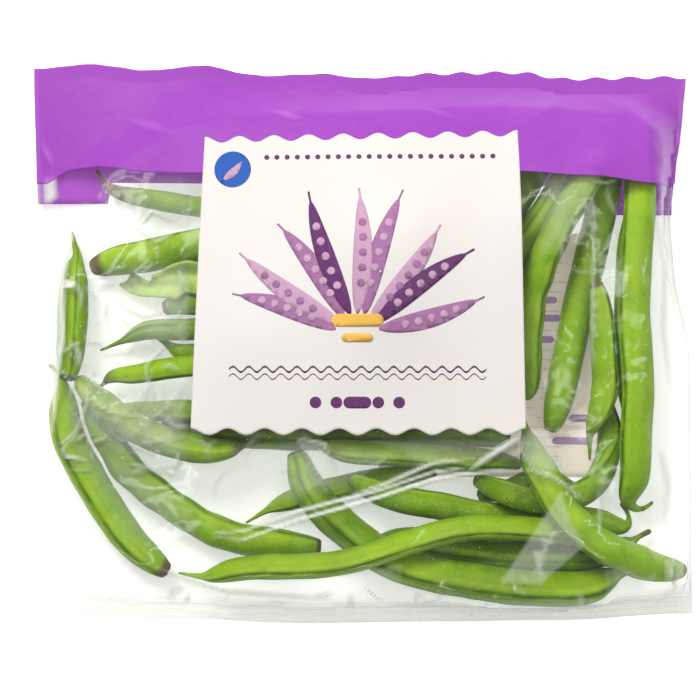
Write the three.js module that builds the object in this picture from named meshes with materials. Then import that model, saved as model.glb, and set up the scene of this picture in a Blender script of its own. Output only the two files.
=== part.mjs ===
// A flat clear bag of green beans, lying on its back. Millimetres, +Z up, +Y towards the header.
// The origin is under the middle of the bag, on the surface that it lies on.
import * as THREE from 'three';

// Driving dimensions
const BAG_WIDTH = 197;
const BAG_LENGTH = 167;
const FILM = 0.7;
const CROWDING = 0.06;
const LABEL = 0.7;
const GAP = 0.35;
const LABEL_LIFT = FILM + 3 * GAP;
const SEAM_Z = 2.6;
const SEAL = 4;
const FLAT_MARGIN = 24;
const LABEL_SIZE = { left: -50.5, right: 47.5, top: 61.5, bottom: -26 };
const LABEL_SCALLOP = { waves: 9, height: 1.1 };
const BACK_LABEL = { left: 5, right: 71, top: 33, bottom: -40 };
const FRONT_BAND_Y = 50;
const BACK_BAND_Y = 43;

// A pod's section is a little deeper from seam to seam than it is across
const SECTION = { sides: 10, deep: 1.07, thin: 0.95 };
const DOME = 0.3;
const RING_STEP = 9.5;
const SEED_STEP = 5.5;
const SEED_PITCH = 12;
const SEED_RELIEF = 0.05;
const POD_GAP = 0.6;
const SAMPLE_STEP = 2;
const CELL = 10;

// How the heap of pods settles: the fall of a round, the pull back to the plan, and bending stiffness
const SETTLE = { rounds: 900, last: 80, fall: 0.15, hold: 0.35, stiffness: 0.5, spare: 0.1 };

// Radius factors by distance from a pod's end
const ENDS = {
  tail: [[0, 0.1], [4, 0.17], [7.5, 0.3], [10.5, 0.62], [15, 0.9]],
  snap: [[0, 0.5], [2.5, 0.68], [8, 0.9]],
  stalk: [[0, 0.27], [4.5, 0.25], [6.5, 0.5], [9, 0.62], [14, 0.86]],
};

// Pods from the lowest to the highest. Each route lists plan points of the pod's centre line.
const PODS = [
  { name: 'pod_core_a', width: 8, roll: 20, ends: ['snap', 'tail'],
    route: [[-58.5, 10.5], [-38.5, 13], [-18.5, 17], [2.5, 18], [23, 13.5], [41, 4.5]] },
  { name: 'pod_core_b', width: 9, roll: 70, ends: ['snap', 'snap'],
    route: [[-59, -24], [-46, -25], [-32, -26], [-14, -26.5], [6, -27], [26, -27.5], [43, -28]] },
  { name: 'pod_core_c', width: 7.8, roll: 40, ends: ['snap', 'tail'],
    route: [[-21.5, 29], [-5, 32], [11.5, 32.5], [26, 30], [40.5, 24]] },
  { name: 'pod_core_d', width: 7.8, roll: 0, ends: ['snap', 'snap'],
    route: [[-6.5, 2], [8.5, 2], [20, -1], [33.5, -6], [45.5, -10.5]] },
  { name: 'pod_upper_a', width: 7.8, roll: 30, ends: ['snap', 'tail'],
    route: [[60.5, 60.5], [54.5, 51.5], [49, 42.5], [43.5, 34], [36.5, 25.5], [27.5, 18.5]] },
  { name: 'pod_upper_b', width: 8.4, roll: 60, ends: ['snap', 'snap'],
    route: [[68, 62], [62, 53], [55.5, 42.5], [47.5, 31], [40.5, 20.5], [32, 11.5]] },
  { name: 'pod_low_a', width: 8.8, roll: 15, ends: ['stalk', 'snap'],
    route: [[85.5, -56], [81.5, -58], [74.5, -60.5], [63.5, -63], [50, -63.4], [35, -62.4], [20, -60.8],
      [5.5, -59.5]] },
  { name: 'pod_low_b', width: 7.6, roll: 75, ends: ['snap', 'tail'],
    route: [[35, -45.4], [43.5, -44.2], [53, -42.5], [62.5, -42.5], [71, -43.5]] },
  { name: 'pod_mid_a', width: 6.8, roll: 50, ends: ['tail', 'snap'],
    route: [[-34.5, -53.5], [-26, -48.5], [-17, -45.5], [-5, -42.5], [8.5, -40], [21.5, -38]] },
  { name: 'pod_header_a', width: 5.6, roll: 10, ends: ['stalk', 'snap'],
    route: [[-79, 51.5], [-76.5, 47.5], [-72.5, 45], [-63, 43], [-48, 40.5], [-33.5, 39.5], [-18.5, 38.5]] },
  { name: 'pod_left_a', width: 6.6, roll: 35, ends: ['tail', 'snap'],
    route: [[-64.5, 4.5], [-57.5, 0.5], [-48, -2], [-33.5, -3.5], [-20, -5], [-9.5, -6.5]] },
  { name: 'pod_left_b', width: 6.6, roll: 65, ends: ['snap', 'tail'],
    route: [[-71.5, -19.5], [-62, -21], [-48, -21.5], [-33.5, -22.5], [-18.5, -22], [-3.5, -20]] },
  { name: 'pod_header_b', width: 7.4, roll: 45, ends: ['tail', 'snap'],
    route: [[-9.5, 56], [4, 53.5], [17, 53.5], [30.5, 56], [42.5, 60.5]] },
  { name: 'pod_right_u', width: 7.4, roll: 80, ends: ['snap', 'snap'],
    route: [[74, -15.5], [74, -26], [72.5, -34], [69.5, -40.5], [62.5, -45], [54.5, -46], [44.5, -44],
      [34.5, -40.5]] },
  { name: 'pod_right_b', width: 6.8, roll: 25, ends: ['tail', 'snap'],
    route: [[80, -40], [79.5, -31.5], [79, -16.5], [78.5, 4], [79, 18.5], [80, 38.5]] },
  { name: 'pod_right_e', width: 8.6, roll: 55, ends: ['tail', 'snap'], seeds: true,
    route: [[72, 63.5], [67.5, 52.5], [61.5, 42.5], [56, 33.5], [51.5, 24], [49.5, 13], [48.5, -2],
      [48.5, -15]] },
  { name: 'pod_long_b', width: 9.7, roll: 10, ends: ['snap', 'tail'],
    route: [[-19.5, -32], [-16, -42], [-11, -48.5], [-4.5, -55], [3, -60], [12.5, -64.2], [26, -68],
      [40.5, -70.6], [52.5, -71.5], [64.5, -70.2], [74, -68.8], [83, -67]] },
  { name: 'pod_low_c', width: 7.4, roll: 30, ends: ['stalk', 'snap'],
    route: [[77.5, -48], [79, -50.5], [79.5, -53], [77.5, -55], [73, -54], [67.5, -52], [54, -51],
      [40.5, -50], [29, -48.5], [17, -47], [6.5, -44], [-3, -40]] },
  { name: 'pod_mid_b', width: 7.4, roll: 60, ends: ['tail', 'snap'],
    route: [[-20, -27.5], [-6.5, -31], [5.5, -31.8], [20, -32.2], [35, -34.2], [46.5, -37.5]] },
  { name: 'pod_left_c', width: 8, roll: 5, ends: ['snap', 'snap'], seeds: true,
    route: [[-82, -15.5], [-80, -22], [-76.3, -29], [-70.5, -36.5], [-62.5, -43.5], [-54, -49.5],
      [-46, -54.5], [-36, -58], [-24.5, -59.5], [-13, -60.5]] },
  { name: 'pod_left_d', width: 6, roll: 20, ends: ['stalk', 'snap'],
    route: [[-81, -15], [-78, -13], [-74.5, -10], [-67, -9], [-58.5, -7.5], [-48, -6], [-33, -3.5],
      [-18.5, 0]] },
  { name: 'pod_left_e', width: 6.6, roll: 110, ends: ['tail', 'snap'],
    route: [[-78, -2], [-72, 0.5], [-65.5, 3], [-58.5, 3.5], [-48, 4.5], [-33, 6.5], [-18.5, 8]] },
  { name: 'pod_core_e', width: 8, roll: 75, ends: ['snap', 'tail'],
    route: [[-43.5, 20], [-27, 24], [-9.5, 24], [8, 20], [23, 12]] },
  { name: 'pod_core_f', width: 7.6, roll: 15, ends: ['tail', 'snap'],
    route: [[-34.5, 9.5], [-27, -2], [-15.5, -12.5], [-0.5, -19.5], [14.5, -24]] },
  { name: 'pod_right_c', width: 8.6, roll: 5, ends: ['tail', 'snap'],
    route: [[77, 65.5], [74.5, 54], [71.5, 42], [67.5, 24.5], [64, 10], [61.5, -2], [59, -13.5],
      [56.5, -25.5]] },
  { name: 'pod_right_a', width: 9, roll: 90, ends: ['tail', 'snap'],
    route: [[86.5, -47.5], [84, -49], [81, -49], [79, -46.5], [79, -40], [80, -25.5], [80.5, -11], [79.5, 7],
      [80, 24.5], [81.5, 42], [82.5, 54], [83.5, 64]] },
  { name: 'pod_right_d', width: 7.4, roll: 30, ends: ['tail', 'snap'], seeds: true,
    route: [[68, -34.5], [69, -29.5], [70.5, -22], [71.5, -13.5], [71, -2], [70, 9], [68.5, 17.5]] },
  { name: 'pod_long_a', width: 7.4, roll: 125, ends: ['tail', 'snap'],
    route: [[-54.5, -68.5], [-47.5, -69], [-41, -67.5], [-36, -66], [-18.5, -65], [-6.5, -63.5],
      [5, -60.5], [17, -57], [28.5, -54], [40.5, -53.5], [52, -54], [64, -56.5], [72, -60]] },
  { name: 'pod_left_f', width: 9, roll: 95, ends: ['stalk', 'snap'],
    route: [[-30.5, -28.5], [-34.5, -30], [-40.5, -31], [-47.5, -30.5], [-58, -27.5], [-69.5, -22.5],
      [-78.5, -17.5], [-84, -13]] },
  { name: 'pod_left_g', width: 9.6, roll: 60, ends: ['tail', 'snap'],
    route: [[-93, -6.5], [-91, -7.5], [-89.5, -9.5], [-87, -15], [-85, -24], [-82.8, -33], [-79.4, -40.5],
      [-75.2, -49], [-70, -56.5], [-64.5, -62.5], [-58.5, -67.5]] },
  { name: 'pod_left_h', width: 9, roll: 40, ends: ['snap', 'tail'],
    route: [[-80.5, 22.5], [-71, 24.8], [-62.5, 26], [-53.5, 28.3], [-43, 30], [-30, 32.5], [-15.5, 34.5]] },
  { name: 'pod_torn', width: 8, roll: 0, ends: ['tail', 'snap'],
    route: [[-70.5, 19.5], [-66, 16.5], [-57.5, 17], [-47.5, 19], [-36.5, 20.5]] },
  { name: 'pod_core_g', width: 8, roll: 110, ends: ['snap', 'tail'],
    route: [[6.5, 37.5], [17, 24.5], [25, 10], [31, -5], [34.5, -19.5]] },
  { name: 'pod_core_h', width: 7.6, roll: 70, ends: ['tail', 'snap'],
    route: [[-13, -16], [-3.5, -5], [3, 8.5], [6.5, 21.5], [5, 34.5]] },
  { name: 'pod_cross', width: 8.8, roll: 35, ends: ['tail', 'snap'], seeds: true,
    route: [[47, -19], [49, -28], [52, -38.5], [57, -47.5], [63.5, -54.5], [71, -59.5], [80, -63.5],
      [87.5, -66], [94.5, -67.5]] },
  { name: 'pod_edge', width: 8.6, roll: 95, ends: ['tail', 'snap'],
    route: [[-86.5, 33], [-85.5, 29.5], [-84.5, 25], [-85, 18], [-85.5, 9], [-86, -0.5], [-86.5, -10.5]] },
];

// The bag's outline. Along the top and bottom, pairs of x and y, and along the sides, pairs of y and x.
const TOP_EDGE = [[-98, 82], [-82, 83.5], [-64, 81.5], [-47, 83.2], [-31, 79.8], [-10, 80.6], [3, 79],
  [20, 80.5], [50, 81], [62, 79], [97, 79.5]];
const BOTTOM_EDGE = [[-98, -80.5], [-60, -82], [-20, -83.5], [20, -83], [60, -82.5], [97, -80.5]];
const LEFT_EDGE = [[82, -98], [46, -97.2], [40, -96.6], [0, -98.3], [-17, -98.5], [-80, -97.2]];
const RIGHT_EDGE = [[82, 97], [67, 95.6], [48, 93.4], [38, 91.8], [24, 93], [-6, 98], [-80, 98.5]];
// The front header's lower edge, as its drift from FRONT_BAND_Y along x
const FRONT_BAND_EDGE = [[-98, -3.5], [-90, 1.5], [-80, 2.5], [-64, 0.5], [-52, 0], [50, 0], [75, -1.5],
  [98, -3.5]];

const lerp = THREE.MathUtils.lerp;
const clamp = THREE.MathUtils.clamp;

// A smooth value between listed [place, value] pairs
function along(pairs, place) {
  const rising = pairs[0][0] < pairs[pairs.length - 1][0];
  const list = rising ? pairs : [...pairs].reverse();
  if (place <= list[0][0]) return list[0][1];
  for (let i = 1; i < list.length; i += 1) {
    if (place > list[i][0]) continue;
    const share = (place - list[i - 1][0]) / (list[i][0] - list[i - 1][0]);
    return lerp(list[i - 1][1], list[i][1], THREE.MathUtils.smoothstep(share, 0, 1));
  }
  return list[list.length - 1][1];
}

const insideBag = (x, y, inset) => x > along(LEFT_EDGE, y) + inset && x < along(RIGHT_EDGE, y) - inset
  && y < along(TOP_EDGE, x) - inset && y > along(BOTTOM_EDGE, x) + inset;

// The back panel's top face: flat in the middle, and curling up to the seam at its edges
function backTop(x, y) {
  const reachX = BAG_WIDTH / 2 - FLAT_MARGIN;
  const reachY = BAG_LENGTH / 2 - FLAT_MARGIN;
  const over = Math.hypot(Math.max(0, Math.abs(x) - reachX), Math.max(0, Math.abs(y) - reachY));
  const lift = SEAM_Z - GAP - FILM;
  return FILM + lift * THREE.MathUtils.smoothstep(over / FLAT_MARGIN, 0, 1);
}

const floorOfPods = (x, y) => backTop(x, y) + GAP + LABEL + GAP;

// Stations along a pod, with the radius at each
function stationsOf(pod, length) {
  const list = [];
  const body = pod.width / 2;
  const [first, last] = pod.ends.map((kind) => ENDS[kind]);
  first.forEach(([away, factor]) => list.push([away, factor * body]));
  const start = first[first.length - 1][0];
  const stop = length - last[last.length - 1][0];
  const step = pod.seeds ? SEED_STEP : RING_STEP;
  const count = Math.max(2, Math.round((stop - start) / step));
  for (let i = 1; i < count; i += 1) {
    const place = lerp(start, stop, i / count);
    const swell = pod.seeds ? SEED_RELIEF * Math.cos((place / SEED_PITCH) * 2 * Math.PI) : 0;
    list.push([place, body * (1 + swell)]);
  }
  [...last].reverse().forEach(([away, factor]) => list.push([length - away, factor * body]));
  return list;
}

// Points along a pod's straight stretches, each tied to the two rings that it lies between
function samplesOf(rings) {
  const samples = [];
  for (let i = 0; i + 1 < rings.length; i += 1) {
    const parts = Math.max(1, Math.round(rings[i].centre.distanceTo(rings[i + 1].centre) / SAMPLE_STEP));
    for (let k = 0; k < parts; k += 1) samples.push(sampleAt(rings, i, k / parts));
  }
  samples.push(sampleAt(rings, rings.length - 2, 1));
  return samples;
}

function sampleAt(rings, i, share) {
  const [from, to] = [rings[i], rings[i + 1]];
  return { rings, from, to, share, centre: from.centre.clone().lerp(to.centre, share),
    radius: lerp(from.radius, to.radius, share) * SECTION.deep };
}

// Lays a level pod at the lowest height that clears the floor and every pod laid before
function layDown(rings, laid) {
  let level = 0;
  for (const { centre, radius } of samplesOf(rings)) {
    level = Math.max(level, floorOfPods(centre.x, centre.y) + radius);
    for (const other of laid) {
      const reach = radius + other.radius + POD_GAP;
      const apart = Math.hypot(centre.x - other.centre.x, centre.y - other.centre.y);
      if (apart < reach) level = Math.max(level, other.centre.z + Math.sqrt(reach ** 2 - apart ** 2));
    }
  }
  rings.forEach((ring) => { ring.centre.z = level; });
}

// Moves the rings of two touching pods apart, each by its share
function pushApart(a, b, gap) {
  const way = a.centre.clone().sub(b.centre);
  const depth = a.radius + b.radius + gap - way.length();
  if (depth <= 0) return;
  way.setLength(depth / 2);
  for (const [sample, sign] of [[a, 1], [b, -1]]) {
    for (const [ring, weight] of [[sample.from, 1 - sample.share], [sample.to, sample.share]]) {
      ring.push.addScaledVector(way, sign * weight);
      ring.load += weight;
    }
  }
}

function forTouching(pods, act) {
  const cells = new Map();
  pods.flatMap(samplesOf).forEach((sample) => {
    const [i, j] = [Math.round(sample.centre.x / CELL), Math.round(sample.centre.y / CELL)];
    for (let di = -1; di <= 1; di += 1) {
      for (let dj = -1; dj <= 1; dj += 1) {
        for (const other of cells.get(`${i + di},${j + dj}`) ?? []) {
          if (other.rings !== sample.rings) act(sample, other);
        }
      }
    }
    const key = `${i},${j}`;
    if (!cells.has(key)) cells.set(key, []);
    cells.get(key).push(sample);
  });
}

// Draws a ring towards the line of its neighbours, as a stiff pod does
function stiffen(rings) {
  const offset = rings.map((ring) => ring.centre.clone().sub(ring.place));
  rings.forEach((ring, i) => {
    const [a, b] = [Math.max(0, i - 1), Math.min(rings.length - 1, i + 1)];
    const span = b === a ? 1 : (i - a) / (b - a);
    const even = a === i || b === i ? offset[i] : offset[a].clone().lerp(offset[b], span);
    ring.centre.add(even.clone().sub(offset[i]).multiplyScalar(SETTLE.stiffness));
  });
}

// Lets the whole heap sink under its weight while touching pods slide off one another
function settle(pods) {
  const { rounds, last, fall, hold, spare } = SETTLE;
  for (let round = 0; round < rounds + last; round += 1) {
    const falling = round < rounds;
    const gap = falling ? POD_GAP : POD_GAP + spare;
    pods.flat().forEach((ring) => {
      ring.push = new THREE.Vector3();
      ring.load = 0;
      if (!falling) return;
      ring.centre.z -= fall * (1 - round / rounds);
      ring.centre.x += (ring.place.x - ring.centre.x) * hold;
      ring.centre.y += (ring.place.y - ring.centre.y) * hold;
    });
    if (falling) pods.forEach(stiffen);
    forTouching(pods, (a, b) => pushApart(a, b, gap));
    pods.flat().forEach((ring) => {
      if (ring.load > 0) ring.centre.addScaledVector(ring.push, 1 / Math.max(1, ring.load));
      const low = floorOfPods(ring.centre.x, ring.centre.y) + ring.radius * SECTION.deep;
      ring.centre.z = Math.max(ring.centre.z, low);
    });
  }
}

function ringsOf(pod) {
  const curve = new THREE.CatmullRomCurve3(pod.route.map(([x, y]) => new THREE.Vector3(x, y, 0)),
    false, 'centripetal');
  const length = curve.getLength();
  return stationsOf(pod, length).map(([away, radius]) => {
    const place = curve.getPointAt(clamp(away / length, 0, 1));
    return { place, centre: place.clone(), radius };
  });
}

// A closed tube through the rings, its two ends slightly domed
function podGeometry(rings, roll) {
  const points = [];
  const faces = [];
  const { sides, deep, thin } = SECTION;
  const up = new THREE.Vector3(0, 0, 1);
  const turn = THREE.MathUtils.degToRad(roll);
  rings.forEach((ring, i) => {
    const before = rings[Math.max(0, i - 1)].centre;
    const after = rings[Math.min(rings.length - 1, i + 1)].centre;
    const ahead = after.clone().sub(before).normalize();
    const side = ahead.clone().cross(up).normalize();
    const top = side.clone().cross(ahead);
    for (let k = 0; k < sides; k += 1) {
      const angle = (k / sides) * 2 * Math.PI;
      const a = Math.cos(angle) * deep * ring.radius;
      const b = Math.sin(angle) * thin * ring.radius;
      const across = a * Math.cos(turn) - b * Math.sin(turn);
      const rise = a * Math.sin(turn) + b * Math.cos(turn);
      points.push(ring.centre.clone().addScaledVector(side, across).addScaledVector(top, rise));
    }
  });
  const crown = (ring, next) => ring.centre.clone().sub(next.centre).normalize()
    .multiplyScalar(ring.radius * DOME).add(ring.centre);
  const last = rings.length - 1;
  const firstPole = points.push(crown(rings[0], rings[1])) - 1;
  const lastPole = points.push(crown(rings[last], rings[last - 1])) - 1;
  for (let k = 0; k < sides; k += 1) {
    const next = (k + 1) % sides;
    faces.push(firstPole, k, next);
    faces.push(lastPole, last * sides + next, last * sides + k);
    for (let i = 0; i < last; i += 1) {
      const a = i * sides + k;
      const b = i * sides + next;
      faces.push(a, a + sides, b, b, a + sides, b + sides);
    }
  }
  return closedGeometry(points, faces);
}

function closedGeometry(points, faces) {
  const geometry = new THREE.BufferGeometry();
  geometry.setAttribute('position', new THREE.Float32BufferAttribute(points.flatMap((p) => p.toArray()), 3));
  geometry.setIndex(faces);
  geometry.computeVertexNormals();
  return geometry;
}

// A closed sheet over a grid of shares u (left to right) and v (top to bottom)
function sheetGeometry(columns, rows, place, thickness) {
  const points = [];
  const faces = [];
  const lift = new THREE.Vector3(0, 0, thickness);
  const wide = columns + 1;
  for (let j = 0; j <= rows; j += 1) {
    for (let i = 0; i <= columns; i += 1) points.push(place(i / columns, j / rows));
  }
  const upper = points.length;
  points.slice().forEach((point) => points.push(point.clone().add(lift)));
  for (let j = 0; j < rows; j += 1) {
    for (let i = 0; i < columns; i += 1) {
      const a = j * wide + i;
      const c = a + wide;
      faces.push(a, a + 1, c, a + 1, c + 1, c);
      faces.push(upper + a, upper + c, upper + a + 1, upper + a + 1, upper + c, upper + c + 1);
    }
  }
  const wall = (a, b) => faces.push(a, upper + b, b, a, upper + a, upper + b);
  for (let i = 0; i < columns; i += 1) {
    wall(i, i + 1);
    wall(rows * wide + i + 1, rows * wide + i);
  }
  for (let j = 0; j < rows; j += 1) {
    wall((j + 1) * wide, j * wide);
    wall(j * wide + columns, (j + 1) * wide + columns);
  }
  return closedGeometry(points, faces);
}

// The height field that the front film takes over the pods, on an even grid
const FIELD = { cell: 3, reachX: 102, reachY: 87, clear: 2.2, inset: 1.5, rounds: 500 };

function filmField(samples) {
  const { cell, reachX, reachY, clear, inset, rounds } = FIELD;
  const wide = Math.round((2 * reachX) / cell) + 1;
  const high = Math.round((2 * reachY) / cell) + 1;
  const floor = new Float64Array(wide * high).fill(SEAM_Z);
  const free = new Uint8Array(wide * high);
  for (let j = 0; j < high; j += 1) {
    for (let i = 0; i < wide; i += 1) {
      const x = i * cell - reachX;
      const y = j * cell - reachY;
      const k = j * wide + i;
      free[k] = insideBag(x, y, inset) && y > along(BOTTOM_EDGE, x) + SEAL ? 1 : 0;
      for (const { centre, radius } of samples) {
        const reach = radius + clear;
        const apart = Math.hypot(x - centre.x, y - centre.y);
        if (apart < reach) floor[k] = Math.max(floor[k], centre.z + Math.sqrt(reach ** 2 - apart ** 2));
      }
    }
  }
  const z = floor.slice();
  for (let round = 0; round < rounds; round += 1) {
    for (let j = 1; j + 1 < high; j += 1) {
      for (let i = 1; i + 1 < wide; i += 1) {
        const k = j * wide + i;
        if (free[k]) z[k] = Math.max(floor[k], (z[k - 1] + z[k + 1] + z[k - wide] + z[k + wide]) / 4);
      }
    }
  }
  return (x, y) => {
    const u = clamp((x + reachX) / cell, 0, wide - 1.001);
    const v = clamp((y + reachY) / cell, 0, high - 1.001);
    const k = Math.floor(v) * wide + Math.floor(u);
    const su = u - Math.floor(u);
    const sv = v - Math.floor(v);
    return lerp(lerp(z[k], z[k + 1], su), lerp(z[k + wide], z[k + wide + 1], su), sv);
  };
}

// Moves columns towards both sides, where the film is steepest
const crowd = (u) => u - CROWDING * Math.sin(2 * Math.PI * u);

// A sheet between two edges, each a function of x, laid at a height that is a function of x and y
function panel(columns, rows, topEdge, bottomEdge, height) {
  return sheetGeometry(columns, rows, (u, v) => {
    const share = crowd(u);
    const guide = (share - 0.5) * BAG_WIDTH;
    const y = lerp(topEdge(guide), bottomEdge(guide), v);
    const x = lerp(along(LEFT_EDGE, y), along(RIGHT_EDGE, y), share);
    return new THREE.Vector3(x, y, height(x, y));
  }, FILM);
}

function labelGeometry(size, scallop, columns, rows, height) {
  return sheetGeometry(columns, rows, (u, v) => {
    const x = lerp(size.left, size.right, u);
    const wave = scallop ? scallop.height * Math.cos(u * scallop.waves * 2 * Math.PI) : 0;
    const y = lerp(size.top, size.bottom, v) + wave;
    return new THREE.Vector3(x, y, height(x, y));
  }, LABEL);
}

const finish = {
  pod: new THREE.MeshStandardMaterial({ color: 0x7da53a, roughness: 0.5 }),
  torn: new THREE.MeshStandardMaterial({ color: 0xbcd488, roughness: 0.6 }),
  film: new THREE.MeshStandardMaterial({ color: 0xf2f4f2, roughness: 0.12, transparent: true, opacity: 0.3 }),
  header: new THREE.MeshStandardMaterial({ color: 0xb158cf, roughness: 0.35 }),
  label: new THREE.MeshStandardMaterial({ color: 0xece8e2, roughness: 0.45 }),
  backLabel: new THREE.MeshStandardMaterial({ color: 0xdcd2c6, roughness: 0.5 }),
};

const bag = new THREE.Group();

function addNode(name, geometry, material) {
  const mesh = new THREE.Mesh(geometry, material);
  mesh.name = name;
  bag.add(mesh);
}

const heap = PODS.map(ringsOf);
heap.forEach((rings, i) => layDown(rings, heap.slice(0, i).flatMap(samplesOf)));
settle(heap);
PODS.forEach((pod, i) => {
  const material = pod.name === 'pod_torn' ? finish.torn : finish.pod;
  addNode(pod.name, podGeometry(heap[i], pod.roll), material);
});

const filmHeight = filmField(heap.flatMap(samplesOf));
const frontBand = (x) => FRONT_BAND_Y + along(FRONT_BAND_EDGE, x);
const topEdge = (x) => along(TOP_EDGE, x);
const bottomEdge = (x) => along(BOTTOM_EDGE, x);
const backHeight = (x, y) => backTop(x, y) - FILM;

addNode('film_back', panel(14, 10, () => BACK_BAND_Y, bottomEdge, backHeight), finish.film);
addNode('header_back', panel(14, 3, topEdge, () => BACK_BAND_Y + GAP, backHeight), finish.header);
addNode('label_back', labelGeometry(BACK_LABEL, null, 4, 4, (x, y) => backTop(x, y) + GAP), finish.backLabel);
addNode('film_front', panel(28, 17, frontBand, bottomEdge, filmHeight), finish.film);
addNode('header_front', panel(28, 5, topEdge, (x) => frontBand(x) + GAP, filmHeight), finish.header);
addNode('label_front', labelGeometry(LABEL_SIZE, LABEL_SCALLOP, 36, 9,
  (x, y) => filmHeight(x, y) + LABEL_LIFT), finish.label);

export default bag;
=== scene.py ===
"""A flat clear bag of green beans with a purple header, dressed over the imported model. Metres, +Z up."""

import math

import bmesh
import bpy
import numpy as np
from bpy.props import FloatProperty, FloatVectorProperty, IntProperty, PointerProperty
from bpy.types import NodeSocket, Operator, Panel, PropertyGroup
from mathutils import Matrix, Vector


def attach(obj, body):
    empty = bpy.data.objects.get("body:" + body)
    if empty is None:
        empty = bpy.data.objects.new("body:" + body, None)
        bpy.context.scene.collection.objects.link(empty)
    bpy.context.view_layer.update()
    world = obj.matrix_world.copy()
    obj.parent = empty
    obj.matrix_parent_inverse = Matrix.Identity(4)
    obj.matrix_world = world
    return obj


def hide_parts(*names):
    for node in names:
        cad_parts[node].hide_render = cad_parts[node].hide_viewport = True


bl_info = {
    "name": "Bean Bag",
    "version": (1, 0, 0),
    "blender": (4, 5, 0),
    "location": "View3D > Sidebar > Bean Bag",
    "description": "Makes a clear bag of green beans with its header, labels and stage",
    "category": "Add Mesh",
}

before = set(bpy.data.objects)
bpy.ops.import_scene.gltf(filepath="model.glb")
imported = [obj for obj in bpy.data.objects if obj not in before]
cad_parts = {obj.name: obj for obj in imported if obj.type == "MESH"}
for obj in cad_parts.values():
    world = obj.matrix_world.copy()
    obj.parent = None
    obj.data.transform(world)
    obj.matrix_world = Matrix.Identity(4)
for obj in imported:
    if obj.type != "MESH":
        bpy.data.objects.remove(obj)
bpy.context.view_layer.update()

MM = 0.001
TURN = 2 * math.pi

# The heap and the film share one even grid over the bag
CELL = 0.9 * MM
REACH_X = 102 * MM
REACH_Y = 87 * MM
BAG_WIDTH = 197 * MM
BAG_LENGTH = 167 * MM

# How far the film stands off the pods, its thickness, and the height of its closed edge
FILM_CLEAR = 0.15 * MM
FILM_THICK = 0.08 * MM
SEAM_Z = 2.4 * MM

# The crimped seal: the share of the front panel below which its rows lie close, its ribs, and its length
FINE_FROM = 0.93
CRIMP_RISE = 0.14 * MM
CRIMP_PITCH = 1.25 * MM
CRIMP_LENGTH = 9 * MM

# The film is stretched over every fourth cell first, and then over all: the coarse step, and the rounds
COARSE = 4
COARSE_ROUNDS = 400
FINE_ROUNDS = 350

# The fine waves of the sealed top edge
RIPPLE_RISE = 0.45 * MM
RIPPLE_PITCH = 10.2 * MM

# How wide the panels' closed rim looks milky
RIM = 0.7 * MM

# How far the clear film reaches under the front header
OVERLAP = 1.0 * MM

BACK_FILM_NODES = ("film_back", "header_back")
FRONT_FILM_NODES = ("film_front", "header_front")
POD_NAMES = sorted(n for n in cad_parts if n.startswith("pod_") and n != "pod_torn")

# How each pod looks, where it isn't drawn at random or as most are: first how light its skin is, by its own
# tone and by painted shade on pods that lie low, under others or under the label, then full how much fuller
# than its solid it is, seam the direction in which its seam looks, dry the dry lengths of its left and right
# ends in millimetres, and swollen that its seeds swell most
POD_LOOKS = {
    "edge": dict(tone_and_shade=0.95, full=1.15, seam=(0.35, 0, 1), dry=(0.3, 0.3)),
    "cross": dict(tone_and_shade=1, seam=(-0.7, -0.5, 0.45), dry=(1.5, 1.8), swollen=True),
    "core_b": dict(tone_and_shade=0.1, full=1.06),
    "header_a": dict(tone_and_shade=0.3, dry=(12.0, 1.3)),
    "left_b": dict(tone_and_shade=0.25),
    "left_c": dict(tone_and_shade=0.75, full=1.16, seam=(0.5, 0.7, 0.5), swollen=True),
    "left_d": dict(tone_and_shade=0.95, seam=(0, -0.8, 0.55), dry=(7.5, 1.3)),
    "left_e": dict(tone_and_shade=0.35),
    "left_f": dict(tone_and_shade=0.75, dry=(0.8, 7.5)),
    "left_g": dict(tone_and_shade=1, full=1.05, dry=(1.3, 2.6)),
    "left_h": dict(tone_and_shade=0.9, seam=(0, 0.9, 0.35), dry=(3.4, 1.3)),
    "long_a": dict(tone_and_shade=0.85, seam=(0.05, -0.42, 0.9)),
    "long_b": dict(tone_and_shade=0.5, full=1.12, seam=(0, -0.4, 0.92), dry=(0.6, 1.5)),
    "low_a": dict(tone_and_shade=0.05, full=1.16, seam=(0, -0.3, 0.95), dry=(1.3, 3.0)),
    "low_b": dict(tone_and_shade=0.05, dry=(0.2, 1.3)),
    "low_c": dict(tone_and_shade=0.4, seam=(0, 0.95, 0.2), dry=(0.4, 2.5)),
    "mid_a": dict(tone_and_shade=0.6),
    "mid_b": dict(tone_and_shade=0.7, dry=(0.4, 0.4)),
    "right_a": dict(tone_and_shade=0.9, seam=(-0.85, 0, 0.5)),
    "right_c": dict(tone_and_shade=0.6, seam=(0.95, 0.1, -0.2), dry=(0.3, 1.3)),
    "right_d": dict(tone_and_shade=0.8, seam=(0.75, 0, 0.65), dry=(1.0, 1.2), swollen=True),
    "right_e": dict(tone_and_shade=0.75, seam=(0.6, -0.3, 0.6), dry=(0.3, 1.3), swollen=True),
    "right_u": dict(tone_and_shade=0.25, seam=(0.3, 0.9, 0.2), dry=(0.2, 1.3)),
    "upper_a": dict(tone_and_shade=0.3, full=1.1),
    "upper_b": dict(tone_and_shade=0.55, full=1.08),
}
FULL = 1.025
SWOLLEN = 1.9

# How long, in millimetres, and how much an end of each kind is dry
DRY_LENGTHS = {"tail": 1.5, "snap": 1.3, "stalk": 6.6}
MOST_DRY = {"tail": 0.5, "snap": 0.9, "stalk": 0.75}

# Seeds in millimetres: the first one's place, the gap to the next, and the reach of one's swelling
SEED_FIRST = (9, 14)
SEED_GAP = (8.5, 13.5)
SEED_REACH = (2.6, 3.8)

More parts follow.
